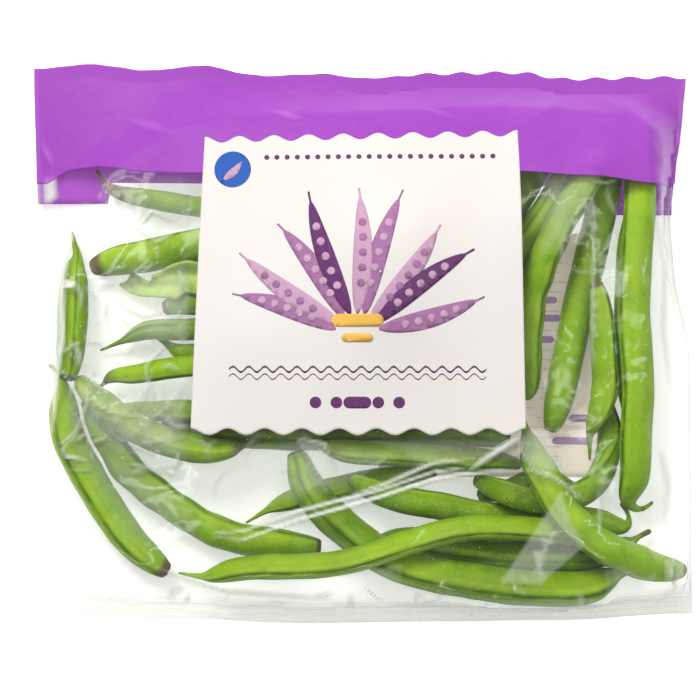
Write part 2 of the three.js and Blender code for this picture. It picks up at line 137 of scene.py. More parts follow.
# A pod's depth and width by its radius, and the share of its relief that is left at its ends
DEEP = 1.06
WIDE = 0.94
END_RELIEF = 0.35

# Widest share of a pod's radius at which an end is a tail or a stalk
TAIL = 0.17
STALK = 0.4

# The direction from which the pods' skins get painted light, and away from which painted shade, as a unit
# vector
PAINTED_LIGHT_SIDE = (-0.17, 0.42, 0.89)

# The front label's corners, and its scalloped edges
LABEL = {
    "top_left": (-46.4 * MM, 59.9 * MM), "top_right": (45.4 * MM, 61.4 * MM),
    "bottom_left": (-49.6 * MM, -25.6 * MM), "bottom_right": (46.9 * MM, -25.4 * MM),
    "waves": 9, "scallop": 0.95 * MM,
}
BACK_LABEL = {"left": 5 * MM, "right": 71 * MM, "top": 33 * MM, "bottom": -40 * MM}
LABEL_LIFT = FILM_THICK + 0.06 * MM
LABEL_THICK = 0.1 * MM
BACK_LABEL_LIFT = 0.2 * MM

# Ink: its thickness, the rise to the next layer, its clearance, and the millimetres between its bends
INK_THICK = 0.03 * MM
INK_STEP = 0.05 * MM
INK_CLEAR = 0.02 * MM
INK_PITCH = 2.0

# What one step leaves for the next: the skins' points, and the film's height, slack and edges
heap = {}


def pick(seed):
    return np.random.default_rng(seed)


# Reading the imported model

def welded(name):
    """Points and triangles of a node, with points that share a place made one."""
    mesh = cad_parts[name].data
    places = np.empty(len(mesh.vertices) * 3)
    mesh.vertices.foreach_get("co", places)
    points, inverse = np.unique(np.round(places.reshape(-1, 3), 6), axis=0, return_inverse=True)
    mesh.calc_loop_triangles()
    corners = np.empty(len(mesh.loop_triangles) * 3, dtype=np.int64)
    mesh.loop_triangles.foreach_get("vertices", corners)
    return points, inverse.reshape(-1)[corners].reshape(-1, 3)


def rings_of(name):
    """A pod's rings from its left end to its right: centres, radii and the direction from seam to seam."""
    points, faces = welded(name)
    near = [set() for _ in points]
    for face in faces:
        for corner in face:
            near[corner].update(int(other) for other in face)
    start = max(range(len(points)), key=lambda i: len(near[i]))
    seen, layer, layers = {start}, {start}, []
    while layer:
        layer = set().union(*(near[i] for i in layer)) - seen
        seen |= layer
        if len(layer) > 2:
            layers.append(sorted(layer))
    centres, radii, deeps = [], [], []
    for members in layers:
        middle = points[members].mean(axis=0)
        spread = points[members] - middle
        _, directions = np.linalg.eigh(spread.T @ spread)
        deep = directions[:, 2]
        if deeps and deep @ deeps[-1] < 0:
            deep = -deep
        centres.append(middle)
        radii.append(math.sqrt((spread ** 2).sum(axis=1).mean()))
        deeps.append(deep)
    order = 1 if centres[0][0] < centres[-1][0] else -1
    return np.array(centres)[::order], np.array(radii)[::order], np.array(deeps)[::order]


def span_across(names, axis, values):
    """Lowest and highest place of some nodes, across lines at the given values of one axis."""
    low = np.full(len(values), np.inf)
    high = np.full(len(values), -np.inf)
    for name in names:
        points, faces = welded(name)
        edges = np.unique(np.sort(faces[:, [0, 1, 1, 2, 2, 0]].reshape(-1, 2), axis=1), axis=0)
        a, b = points[edges[:, 0]], points[edges[:, 1]]
        for k, value in enumerate(values):
            da, db = a[:, axis] - value, b[:, axis] - value
            hit = (da * db <= 0) & (np.abs(da - db) > 1e-9)
            if hit.any():
                share = (da / np.where(hit, da - db, 1))[hit]
                place = a[hit, 1 - axis] + share * (b[hit, 1 - axis] - a[hit, 1 - axis])
                low[k] = min(low[k], place.min())
                high[k] = max(high[k], place.max())
    return low, high


def edges_of(names):
    """Some panels' common edges as functions: bottom and top of x, left and right of y."""
    guides = np.linspace(-95 * MM, 91 * MM, 187)
    steps = np.linspace(-78 * MM, 78 * MM, 120)
    low_y, high_y = span_across(names, 0, guides)
    low_x, high_x = span_across(names, 1, steps)
    known = np.isfinite(low_y)
    return {
        "bottom": lambda x: np.interp(x, guides[known], low_y[known]),
        "top": lambda x: np.interp(x, guides[known], high_y[known]),
        "left": lambda y: np.interp(y, steps, low_x),
        "right": lambda y: np.interp(y, steps, high_x),
    }


# Mesh helpers

def place_mesh(name, mesh, material, smooth=True):
    piece = bpy.data.objects.new(name, mesh)
    bpy.context.scene.collection.objects.link(piece)
    mesh.materials.append(material)
    mesh.polygons.foreach_set("use_smooth", [smooth] * len(mesh.polygons))
    return piece


def add_mesh(name, points, faces, material, smooth=True):
    mesh = bpy.data.meshes.new(name)
    mesh.from_pydata([tuple(p) for p in points], [], [tuple(int(i) for i in f) for f in faces])
    mesh.validate()
    mesh.update()
    return place_mesh(name, mesh, material, smooth)


def add_values(piece, marks):
    """Gives each point of a piece the named values that its material reads."""
    for name, values in marks.items():
        attribute = piece.data.attributes.new(name, "FLOAT", "POINT")
        attribute.data.foreach_set("value", np.asarray(values, dtype=np.float32))


def grid_faces(rows, columns, wrap=False):
    """Quads of a grid of rows x columns points, closed round its columns if wrap is set."""
    i, j = np.meshgrid(np.arange(rows - 1), np.arange(columns if wrap else columns - 1), indexing="ij")
    i, j = i.ravel(), j.ravel()
    k = (j + 1) % columns
    return np.stack([i * columns + j, i * columns + k, (i + 1) * columns + k, (i + 1) * columns + j], axis=1)


def thicken(piece, thickness):
    """Gives a sheet its thickness upwards, with closed edges."""
    modifier = piece.modifiers.new("thickness", "SOLIDIFY")
    modifier.thickness = thickness
    modifier.offset = 1.0
    modifier.use_even_offset = False
    bpy.context.view_layer.objects.active = piece
    with bpy.context.temp_override(object=piece, active_object=piece):
        bpy.ops.object.modifier_apply(modifier=modifier.name)


def settle_piece(piece, slot, *nodes):
    """Rides on the part's only body and stands for its nodes; its slot is not used."""
    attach(piece, "root")
    if nodes:
        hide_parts(*nodes)


def add_sheet(name, x, y, z, material, thickness, slot, node, marks=()):
    """A closed sheet over a grid of places, with its marks."""
    points = np.stack([x, y, z], axis=-1).reshape(-1, 3)
    piece = add_mesh(name, points, grid_faces(*x.shape)[:, ::-1], material)
    add_values(piece, {label: values.ravel() for label, values in dict(marks).items()})
    thicken(piece, thickness)
    settle_piece(piece, slot, node)


# Materials

class Paint:
    """A material in the making. Each step adds nodes and hands on the socket that holds its result."""

    def __init__(self, name):
        self.material = bpy.data.materials.new(name)
        self.material.use_nodes = True
        self.tree = self.material.node_tree
        self.tree.nodes.clear()

    def add(self, kind, inputs=(), **settings):
        """A node of a kind, each of its inputs fed from a socket or set to a value or colour."""
        made = self.tree.nodes.new("ShaderNode" + kind)
        for key, value in settings.items():
            setattr(made, key, value)
        for key, value in dict(inputs).items():
            socket = made.inputs[key]
            if isinstance(value, NodeSocket):
                self.tree.links.new(value, socket)
            elif socket.type == "RGBA":
                socket.default_value = (*value[:3], 1.0)
            else:
                socket.default_value = value
        return made

    def noise(self, scale, detail, rough=0.5):
        """Noise over the object's own coordinates."""
        place = self.add("TexCoord").outputs["Object"]
        settings = {"Vector": place, "Scale": scale, "Detail": detail, "Roughness": rough}
        return self.add("TexNoise", settings).outputs["Fac"]

    def reading(self, name):
        """A value that the mesh carries at each point."""
        return self.add("Attribute", attribute_name=name).outputs["Fac"]

    def mix(self, share, first, second):
        """The first colour with a share of the second."""
        return self.add("Mix", {0: share, 6: first, 7: second}, data_type="RGBA").outputs[2]

    def curve(self, source, low, high, to_low=0.0, to_high=1.0):
        """Maps a value from low..high to to_low..to_high, clamped and smooth."""
        inputs = {"Value": source, "From Min": low, "From Max": high, "To Min": to_low, "To Max": to_high}
        return self.add("MapRange", inputs, interpolation_type="SMOOTHSTEP").outputs["Result"]

    def math(self, operation, first, second):
        return self.add("Math", {0: first, 1: second}, operation=operation).outputs[0]

    def layers(self, colour, rows):
        """Lays colours over one: each row is a colour, the value it follows, from, to, most, and a share."""
        for tone, source, low, high, most, *by in rows:
            share = self.curve(source, low, high, 0.0, most)
            colour = self.mix(self.math("MULTIPLY", share, by[0]) if by else share, colour, tone)
        return colour

    def relief(self, height, distance, strength):
        bump = self.add("Bump", {"Distance": distance, "Strength": strength, "Height": height})
        return bump.outputs["Normal"]

    def over(self, share, first, second):
        """The first surface with a share of the second."""
        return self.add("MixShader", {0: share, 1: first.outputs[0], 2: second.outputs[0]})

    def end(self, surface):
        self.add("OutputMaterial", {"Surface": surface.outputs[0]})
        return self.material

    def body(self, colour, rough, glow=0.0, glow_colour=(1, 1, 1), more=()):
        """Ends the material as one plain body that may give a little light of its own."""
        inputs = {"Base Color": colour, "Roughness": rough, "Emission Color": glow_colour,
                  "Emission Strength": glow, **dict(more)}
        return self.end(self.add("BsdfPrincipled", inputs))


# Settings

def colour_setting(name, description, default):
    return FloatVectorProperty(name=name, description=description, subtype="COLOR", size=3, default=default)


def number_setting(name, description, default):
    return FloatProperty(name=name, description=description, default=default)


def length_setting(name, description, default):
    return FloatProperty(name=name, description=description, subtype="DISTANCE", unit="LENGTH",
                         default=default)


class PodSettings(PropertyGroup):
    light: colour_setting("Light skin", "Colour of the lightest pods", (0.27, 0.49, 0.008))
    deep: colour_setting("Deep skin", "Colour of the darkest pods", (0.1, 0.215, 0.006))
    pale: colour_setting("Pale edge", "Yellow green along a seam", (0.48, 0.66, 0.05))
    dry: colour_setting("Dry end", "Brown of a snapped end or stalk", (0.13, 0.085, 0.035))
    sides: IntProperty(name="Points round a pod", description="Points in one ring", default=40, min=16,
                       max=64)
    step: length_setting("Ring spacing", "Distance between a pod's rings", 0.8 * MM)
    swell: number_setting("Seed swelling", "How far seeds push out the skin, by the radius", 0.06)


class FilmSettings(PropertyGroup):
    puff: length_setting("Puff", "How far the film stands off the pods", 2.7 * MM)
    haze: number_setting("Haze", "Share of white scatter in the clear film", 0.008)
    crumple: length_setting("Crumple", "Height of the film's fine crumpling", 0.35 * MM)
    gloss: number_setting("Roughness", "Roughness of the film's gloss", 0.1)
    header: colour_setting("Header colour", "Opaque print of the header", (0.325, 0.065, 0.445))


class PrintSettings(PropertyGroup):
    paper: colour_setting("Label colour", "Cream white of the front label", (0.785, 0.765, 0.735))
    back_paper: colour_setting("Back label colour", "Beige of the back label", (0.86, 0.76, 0.68))
    mauve: colour_setting("Mauve", "Main ink", (0.36, 0.16, 0.33))
    plum: colour_setting("Plum", "Dark ink", (0.13, 0.035, 0.14))
    blush: colour_setting("Blush", "Pale ink", (0.55, 0.33, 0.47))
    amber: colour_setting("Amber", "Warm accent ink", (0.85, 0.5, 0.09))
    blue: colour_setting("Blue", "Cold accent ink", (0.02, 0.1, 0.42))


class StageSettings(PropertyGroup):
    camera_height: length_setting("Camera height", "Camera above the surface", 0.6)
    view_width: length_setting("View width", "Width that the camera takes in at the surface", 0.21)
    aim: FloatVectorProperty(name="Aim", description="Point of the surface in the middle of the view",
                             subtype="TRANSLATION", size=3, default=(-3.6 * MM, -1.95 * MM, 0.0))
    glow: number_setting("Floor glow", "Light that the lit floor gives by itself", 0.56)
    floor: colour_setting("Floor colour", "Plain pale floor", (0.9, 0.9, 0.9))


# Pods

def spline(knots, values, wanted):
    """Natural cubic through values at the knots, read at the wanted places."""
    n = len(knots)
    gaps = np.diff(knots)
    matrix = np.eye(n)
    right = np.zeros((n, values.shape[1]))
    for i in range(1, n - 1):
        matrix[i, i - 1:i + 2] = gaps[i - 1], 2 * (gaps[i - 1] + gaps[i]), gaps[i]
        right[i] = 6 * ((values[i + 1] - values[i]) / gaps[i] - (values[i] - values[i - 1]) / gaps[i - 1])
    bend = np.linalg.solve(matrix, right)
    k = np.clip(np.searchsorted(knots, wanted) - 1, 0, n - 2)
    gap = gaps[k][:, None]
    a = ((knots[k + 1] - wanted)[:, None]) / gap
    b = 1 - a
    return (a * values[k] + b * values[k + 1]
            + ((a ** 3 - a) * bend[k] + (b ** 3 - b) * bend[k + 1]) * gap ** 2 / 6)


def unit(vectors):
    return vectors / np.maximum(np.linalg.norm(vectors, axis=-1, keepdims=True), 1e-12)


def end_kind(radius, body):
    """What an end is by its width: a pointed tail, a thin stalk or a snapped face."""
    share = radius / body
    if share < TAIL:
        return "tail"
    return "stalk" if share < STALK else "snap"


def pod_path(name, step):
    """A pod's fine stations: places along it, centres, radii, and directions deep, across and ahead."""
    centres, radii, deeps = rings_of(name)
    knots = np.concatenate([[0], np.cumsum(np.linalg.norm(np.diff(centres, axis=0), axis=1))])
    places = np.linspace(0, knots[-1], max(24, int(round(knots[-1] / step))))
    line = spline(knots, centres, places)
    radius = np.interp(places, knots, radii)
    even = np.convolve(radius, np.array([1, 2, 3, 2, 1]) / 9, mode="same")
    radius[2:-2] = even[2:-2]
    body = radius.max()
    for first, away in ((radius[0], places), (radius[-1], places[-1] - places)):
        if end_kind(first, body) == "stalk":
            radius = radius * np.interp(away, [4.5 * MM, 7.5 * MM], [0.62, 1.0])
    ahead = unit(np.gradient(line, axis=0))
    deep = np.stack([np.interp(places, knots, deeps[:, axis]) for axis in range(3)], axis=1)
    seam = POD_LOOKS.get(name[4:], {}).get("seam")
    if seam:
        deep = np.tile(np.array(seam), (len(places), 1))
    deep = unit(deep - (deep * ahead).sum(axis=1, keepdims=True) * ahead)
    return places, line, radius, deep, np.cross(ahead, deep), ahead


def pod_relief(places, angles, kinds, swell, draw):
    """How far the skin stands out, by the radius, over a pod's stations and angles, with its marks."""
    s, a = places[:, None], angles[None, :]
    length = places[-1]

    def stripe(middle, width):
        aside = (a - middle + math.pi) % TURN - math.pi
        return np.exp(-(aside / width) ** 2) * np.ones_like(s)

    groove, lip_at, lip_width = 0.12, 0.42, 0.2
    seam, spine = stripe(0, groove), stripe(math.pi, groove)
    lips = stripe(lip_at, lip_width) + stripe(-lip_at, lip_width)
    beads = np.zeros_like(seam)
    place = draw.uniform(*SEED_FIRST) * MM
    while place < length - SEED_FIRST[0] * MM:
        size = draw.uniform(0.35, 1.0)
        reach = draw.uniform(*SEED_REACH) * MM
        lean = draw.uniform(-0.3, 0.3)
        beads += size * np.exp(-((s - place) / reach) ** 2) * np.abs(np.sin(a - lean)) ** 1.6
        place += draw.uniform(*SEED_GAP) * MM
    out = 0.07 * stripe(0, 0.34) - 0.09 * seam + 0.035 * spine + swell * (beads - 0.3)
    waves = draw.uniform(0, TURN, 6)
    out += 0.018 * np.sin(s / (7 * MM) + waves[0] + np.cos(a + waves[1]))
    out += 0.012 * np.sin(s / (3.1 * MM) + waves[2] + 2 * np.sin(a + waves[3]))
    out += 0.006 * np.sin(9 * a + 1.5 * np.sin(s / (16 * MM) + waves[4]))
    fade = np.ones_like(places)
    for kind, away in zip(kinds, (places, length - places)):
        fade = np.minimum(fade, np.clip((away - 1 * MM) / (9 * MM), 0.0, 1))
        if kind == "stalk":
            ruff = np.exp(-((away[:, None] - 6.9 * MM) / (0.75 * MM)) ** 2)
            out = out + 0.5 * ruff * (0.65 + 0.35 * np.cos(5 * a))
    marks = {"seam": seam, "lips": lips, "spine": spine, "beads": beads}
    return out * np.maximum(fade, END_RELIEF)[:, None], marks


def cap(points, dry, ring, middle, ahead, kind, draw):
    """Closes one end: a point on a tail, a rough sunk face on a snapped end or stalk."""
    tail = kind == "tail"
    rounds = [(0.6, 0.7)] if tail else [(0.92, 0.1), (0.62, -0.06), (0.3, -0.1)]
    sides, first, inner, faces = range(len(ring)), len(points), ring, []
    for share, rise in rounds:
        outer, inner = inner, range(len(points), len(points) + len(ring))
        for index in ring:
            rough = 0.0 if tail else draw.normal(0, 0.05)
            points.append(middle + (points[index] - middle) * share + ahead * (rise + rough))
        faces += [(outer[k - 1], outer[k], inner[k], inner[k - 1]) for k in sides]
    faces += [(inner[k - 1], inner[k], len(points)) for k in sides]
    points.append(middle + ahead * (1.0 if tail else -0.05))
    dry += [0.6 if tail else 1.0] * (len(points) - first)
    return faces


def make_pod(name, index, material, settings):
    look = POD_LOOKS.get(name[4:], {})
    draw = pick(1000 + index)
    places, line, radius, deep, across, ahead = pod_path(name, settings.step)
    kinds = [end_kind(radius[end], radius.max()) for end in (0, -1)]
    even = np.arange(settings.sides) / settings.sides * TURN
    angles = even - 0.3 * np.sin(2 * even)
    swell = settings.swell * (SWOLLEN if "swollen" in look else draw.uniform(0.5, 1.1))
    out, marks = pod_relief(places, angles, kinds, swell, draw)
    rings = radius[:, None] * (1 + out) * look.get("full", FULL)
    skin = (line[:, None, :] + (rings * DEEP * np.cos(angles))[..., None] * deep[:, None, :]
            + (rings * WIDE * np.sin(angles))[..., None] * across[:, None, :]).reshape(-1, 3)
    dryness = np.zeros(len(places))
    reaches = look.get("dry", [DRY_LENGTHS[kind] for kind in kinds])
    for kind, away, reach in zip(kinds, (places, places[-1] - places), reaches):
        most = 0.95 if reach > 1.6 else MOST_DRY[kind]
        dryness = np.maximum(dryness, most * np.clip(1.6 - away / (reach * MM), 0, 1))
    points, dry = list(skin), list(np.repeat(dryness, settings.sides))
    faces = [tuple(f) for f in grid_faces(len(places), settings.sides, wrap=True)]
    first = range(settings.sides)
    last = range(len(skin) - settings.sides, len(skin))
    faces += cap(points, dry, first[::-1], line[0], -ahead[0] * radius[0], kinds[0], draw)
    faces += cap(points, dry, last, line[-1], ahead[-1] * radius[-1], kinds[1], draw)
    piece = add_mesh("bean_" + name[4:], points, [face[::-1] for face in faces], material)
    ends = np.zeros(len(points) - len(skin))
    add_values(piece, {label: np.concatenate([values.ravel(), ends]) for label, values in marks.items()})
    # A pod's lightness: its own tone, with painted shade on pods that lie in shade
    tone_and_shade = look.get("tone_and_shade", draw.uniform(0.1, 0.6))
    add_values(piece, {"dry": dry, "tone_and_shade": np.full(len(points), tone_and_shade)})
    settle_piece(piece, "pod", name)
    return skin


def skin_material(settings):
    paint = Paint("bean skin")
    tone_and_shade, dry, seam, spine = (paint.reading(name) for name in ("tone_and_shade", "dry", "seam", "spine"))
    mottle, streak = paint.noise(1100, 4, rough=0.7), paint.noise(300, 3)
    broken = paint.curve(paint.noise(120, 2), 0.35, 0.6, 0.25, 1.0)
    # The skin's normal against one fixed direction gives painted light on one side and painted shade on the
    # other
    lie = paint.add("NewGeometry").outputs["Normal"]
    painted_light = paint.add("VectorMath", {0: lie, 1: PAINTED_LIGHT_SIDE}, operation="DOT_PRODUCT").outputs["Value"]
    fibre = paint.mix(mottle, (0.05, 0.03, 0.015), (0.32, 0.26, 0.12))
    # Each pod's skin lightness, which holds painted shade for pods that lie in shade
    share = paint.math("ADD", tone_and_shade, paint.curve(paint.noise(45, 2), 0.35, 0.7, -0.2, 0.25))
    colour = paint.layers(paint.mix(share, settings.deep, settings.light), [
        ((0.36, 0.56, 0.04), mottle, 0.45, 0.7, 0.3),
        ((0.07, 0.19, 0.006), mottle, 0.5, 0.3, 0.28),
        (settings.pale, streak, 0.52, 0.7, 0.22),
        (settings.deep, streak, 0.46, 0.3, 0.22),
        (settings.light, paint.reading("beads"), 0.1, 1.0, 0.3),
        (settings.pale, paint.math("POWER", spine, 0.12), 0.3, 1.0, 0.3),
        (settings.pale, spine, 0.1, 1.0, 0.2),
        (settings.pale, paint.reading("lips"), 0.2, 1.0, 0.45, broken),
        # Painted shade in a broad band along the seam's groove, then the seam's dark line, which also holds
        # painted shade in the groove
        ((0.07, 0.2, 0.006), paint.math("POWER", seam, 0.2), 0.3, 1.0, 0.55, broken),
        ((0.05, 0.13, 0.008), seam, 0.1, 0.95, 0.8, broken),
        # Painted shade on the sides of the skins that face away from the light, and painted light on those
        # that face it
        ((0.055, 0.15, 0.004), painted_light, 0.55, -0.35, 0.7),
        (settings.pale, painted_light, 0.7, 1.0, 0.35, tone_and_shade),
        (paint.mix(0.5, fibre, settings.dry), dry, 0.15, 0.85, 1.0),
    ])
    rough = paint.math("ADD", paint.curve(mottle, 0.3, 0.8, 0.34, 0.55), paint.math("MULTIPLY", dry, 0.3))
    height = paint.math("ADD", paint.noise(1500, 3), paint.math("MULTIPLY", streak, 1.2))
    return paint.body(colour, rough, more={
        "Normal": paint.relief(height, 0.2 * MM, 0.6), "Specular IOR Level": 0.35,
        "Subsurface Weight": 0.12, "Subsurface Radius": (0.6, 1.0, 0.3), "Subsurface Scale": 1.2 * MM,
    })


class BEANBAG_OT_pods(Operator):
    """Makes every whole bean pod over its node"""
    bl_idname = "bean_bag.pods"
    bl_label = "Bean pods"

    def execute(self, context):
        settings = context.scene.bean_pods
        material = skin_material(settings)
        tops = [make_pod(name, index, material, settings) for index, name in enumerate(POD_NAMES)]
        heap["skins"] = np.concatenate(tops)
        return {"FINISHED"}


# The torn pod piece

def torn_material():
    paint = Paint("torn bean")
    cloud = paint.noise(220, 5)
    colour = paint.layers((0.2, 0.38, 0.03), [
        ((0.5, 0.68, 0.12), cloud, 0.35, 0.65, 1.0),
        ((0.62, 0.76, 0.25), paint.reading("pith"), 0.2, 0.9, 0.4),
    ])
    return paint.body(colour, 0.42, more={
        "Normal": paint.relief(cloud, 0.3 * MM, 0.6), "Subsurface Weight": 0.2,
        "Subsurface Radius": (0.8, 1.0, 0.4), "Subsurface Scale": 1.5 * MM,
    })


class BEANBAG_OT_torn_pod(Operator):
    """Makes the pale piece of a pod torn open along its seam: a shallow trough with ragged lips"""
    bl_idname = "bean_bag.torn_pod"
    bl_label = "Torn pod"

    def execute(self, context):
        draw = pick(77)
        thickness = 0.9 * MM
        places, line, radius, _, _, ahead = pod_path("pod_torn", context.scene.bean_pods.step)
        level = unit(np.cross(np.array([0.0, 0.0, 1.0]), ahead))
        rise = np.cross(ahead, level)
        spread = np.linspace(-1, 1, 33)
        lips = [np.interp(places, np.linspace(0, places[-1], 14), draw.uniform(0.72, 1.12, 14))[:, None]
                for _ in (0, 1)]
        width = 1.25 * np.maximum(radius, 1.7 * MM)[:, None]
        reach = spread * np.where(spread < 0, *lips)
        curl = 0.75 * np.abs(reach) ** 2.2 + 0.08 * np.sin(places[:, None] / (2.3 * MM) + 5 * spread)
        trough = (line[:, None, :] + (width * reach)[..., None] * level[:, None, :]
                  + (width * (curl - 0.55))[..., None] * rise[:, None, :])
        pith = np.clip(1.1 - np.abs(spread), 0, 1) * np.ones(reach.shape)
        skin = trough.reshape(-1, 3)
        piece = add_mesh("torn_bean", skin, grid_faces(*reach.shape), torn_material())
        add_values(piece, {"pith": pith.ravel()})
        thicken(piece, thickness)
        settle_piece(piece, "torn_pod", "pod_torn")
        heap["skins"] = np.concatenate([heap["skins"], skin + np.array([0, 0, thickness])])
        return {"FINISHED"}


# The film's height over the heap

def read_field(field, x, y):
    """Bilinear reading of a field on the shared grid."""
    u = np.clip((x + REACH_X) / CELL, 0, field.shape[1] - 1.001)
    v = np.clip((y + REACH_Y) / CELL, 0, field.shape[0] - 1.001)
    i, j = u.astype(int), v.astype(int)
    a, b = u - i, v - j
    return ((field[j, i] * (1 - a) + field[j, i + 1] * a) * (1 - b)
            + (field[j + 1, i] * (1 - a) + field[j + 1, i + 1] * a) * b)


def widest(field, rounds):
    """Each cell takes the highest of its neighbours."""
    for _ in range(rounds):
        padded = np.pad(field, 1, mode="edge")
        field = np.max([padded[1 + j:padded.shape[0] - 1 + j, 1 + i:padded.shape[1] - 1 + i]
                        for j in (-1, 0, 1) for i in (-1, 0, 1)], axis=0)
    return field


def soften(field, rounds):
    """Each cell takes the mean of its four neighbours."""
    for _ in range(rounds):
        padded = np.pad(field, 1, mode="edge")
        field = (padded[:-2, 1:-1] + padded[2:, 1:-1] + padded[1:-1, :-2] + padded[1:-1, 2:]) / 4
    return field


def stretch(floor, free, rounds, start):
    """A drum skin that is held where it isn't free and lies on the floor where the floor is higher."""
    z = np.maximum(start, floor)
    for _ in range(rounds):
        z = np.where(free, np.maximum(soften(z, 1), floor), z)
    return z


def away_from(line, x, y):
    """Distance of each grid point from a line of points, and the share along the line at the nearest."""
    best = np.full(x.shape, np.inf)
    share = np.zeros(x.shape)
    steps = np.linalg.norm(np.diff(line, axis=0), axis=1)
    gone = 0.0
    for (ax, ay), (bx, by), step in zip(line[:-1], line[1:], steps):
        t = np.clip(((x - ax) * (bx - ax) + (y - ay) * (by - ay)) / step ** 2, 0, 1)
        apart = np.hypot(x - ax - t * (bx - ax), y - ay - t * (by - ay))
        closer = apart < best
        best = np.where(closer, apart, best)
        share = np.where(closer, (gone + t * step) / steps.sum(), share)
        gone += step
    return best, share


def inside_of(outline, x, y):
    """Which grid points lie inside a closed outline."""
    inside = np.zeros(x.shape, dtype=bool)
    for (ax, ay), (bx, by) in zip(outline, np.roll(outline, -1, axis=0)):
        if ay != by:
            inside ^= ((ay > y) != (by > y)) & (x < (bx - ax) * (y - ay) / (by - ay) + ax)
    return inside


# Creases of the front film: route in millimetres, height, half width in millimetres, and whiteness, which is
# the creased film's milkiness and a painted highlight along the crease
CREASES = [
    ([(-43, -56.5), (-35, -57), (-27, -54), (-19, -51), (-7, -47.5), (5, -44), (20, -39), (29, -37.5),
      (41, -36.5), (49, -36)], 1.5, 0.7, 0.75),
    ([(46, -36.2), (53, -37.2), (58, -40.5), (64, -45.5)], 0.5, 0.6, 0.3),
    ([(-43, -55), (-35, -54.5), (-27, -51.5), (-19, -48.5), (-7, -45.2), (5, -42), (20, -37), (30, -35.5)],
     1.4, 0.7, 0.65),
    ([(-2, -43), (6, -40.5), (20, -34.5), (32, -33)], 1.1, 0.8, 0.45),
    ([(31, -36), (46, -26)], 1.3, 1.3, 0.5),
    ([(46, -24), (45.5, -31), (50, -37), (56, -39)], 0.7, 0.8, 0.3),
    ([(50, -26), (54, -31), (57, -37)], 0.6, 0.8, 0.25),
    ([(-85.5, 38), (-87.8, 17), (-87.6, 1), (-89.5, -10), (-90.5, -26)], 1.2, 1.1, 0.9),
    ([(-84, 36), (-87.5, 24), (-88, 8), (-89, -6)], 0.8, 0.8, 0.4),
    ([(-88, -29), (-86.5, -33), (-80, -34)], 0.9, 0.8, 0.5),
    ([(-82, -16), (-72, -20), (-62, -22)], 0.8, 0.8, 0.3),
    ([(-80, -20), (-70, -28), (-60, -32)], 0.8, 0.8, 0.3),
    ([(-77, -12), (-73, -22), (-66, -30)], 0.7, 0.7, 0.25),
    ([(-86, -18), (-80, -26), (-78, -36)], 0.8, 0.7, 0.3),
    ([(-75, -30), (-71, -22), (-64, -15), (-61, -8)], 0.5, 1.6, 0.2),
    ([(-72, -33), (-65, -25), (-56, -18), (-51, -10)], 0.4, 1.4, 0.2),
    ([(-79, -8), (-80, -18), (-84, -27), (-88, -31)], 0.5, 1.2, 0.3),
    ([(-60, -20), (-54, -24), (-46, -24)], 0.6, 1.4, 0.3),
    ([(66.5, 45), (66.5, 12), (66, -10)], 0.15, 0.9, 0.2),
    ([(68, -41), (68, -54)], 0.15, 0.9, 0.2),
    ([(-19, -27), (-14, -36), (-10, -43)], 0.9, 0.9, 0.3),
    ([(-19, -27), (-11, -29), (-8, -36)], 0.8, 0.8, 0.3),
    ([(91, -62), (90, -67), (91.5, -72)], 0.6, 0.8, 0.5),
    ([(84, 40), (88, 22), (87, 4), (90, -14)], 0.4, 1.6, 0.2),
    ([(86, -30), (89, -40), (87, -54)], 0.4, 1.6, 0.2),
    ([(-70, 36), (-60, 30), (-52, 34)], 0.5, 0.8, 0.25),
    ([(-66, 34), (-62, 39), (-56, 36)], 0.6, 0.7, 0.35),
    ([(-72, 12), (-64, 8), (-56, 10)], 0.6, 0.8, 0.25),
    ([(-60, -66), (-40, -72), (-10, -74)], 0.6, 1.0, 0.3),
    ([(10, -77), (40, -78.5), (70, -76)], 0.5, 0.8, 0.3),
    ([(-97, 64), (-95, 58), (-92, 53)], 0.9, 1.2, 0.5),
    ([(-71, 67), (-64, 65), (-57, 62.5)], 0.5, 2.0, 0.2),
    ([(-50, 79), (-44, 72), (-38, 66)], 0.7, 5.0, 0.0),
    ([(-26, 68.5), (-21, 67), (-18, 66.5)], 0.5, 1.0, 0.3),
    ([(18, 69), (27, 66.5)], 0.4, 1.0, 0.1),
    ([(92, 80), (95, 77), (98, 80)], 0.4, 1.0, 0.6),
    ([(60, 78), (78, 70), (92, 58)], 0.5, 4.0, 0.0),
]

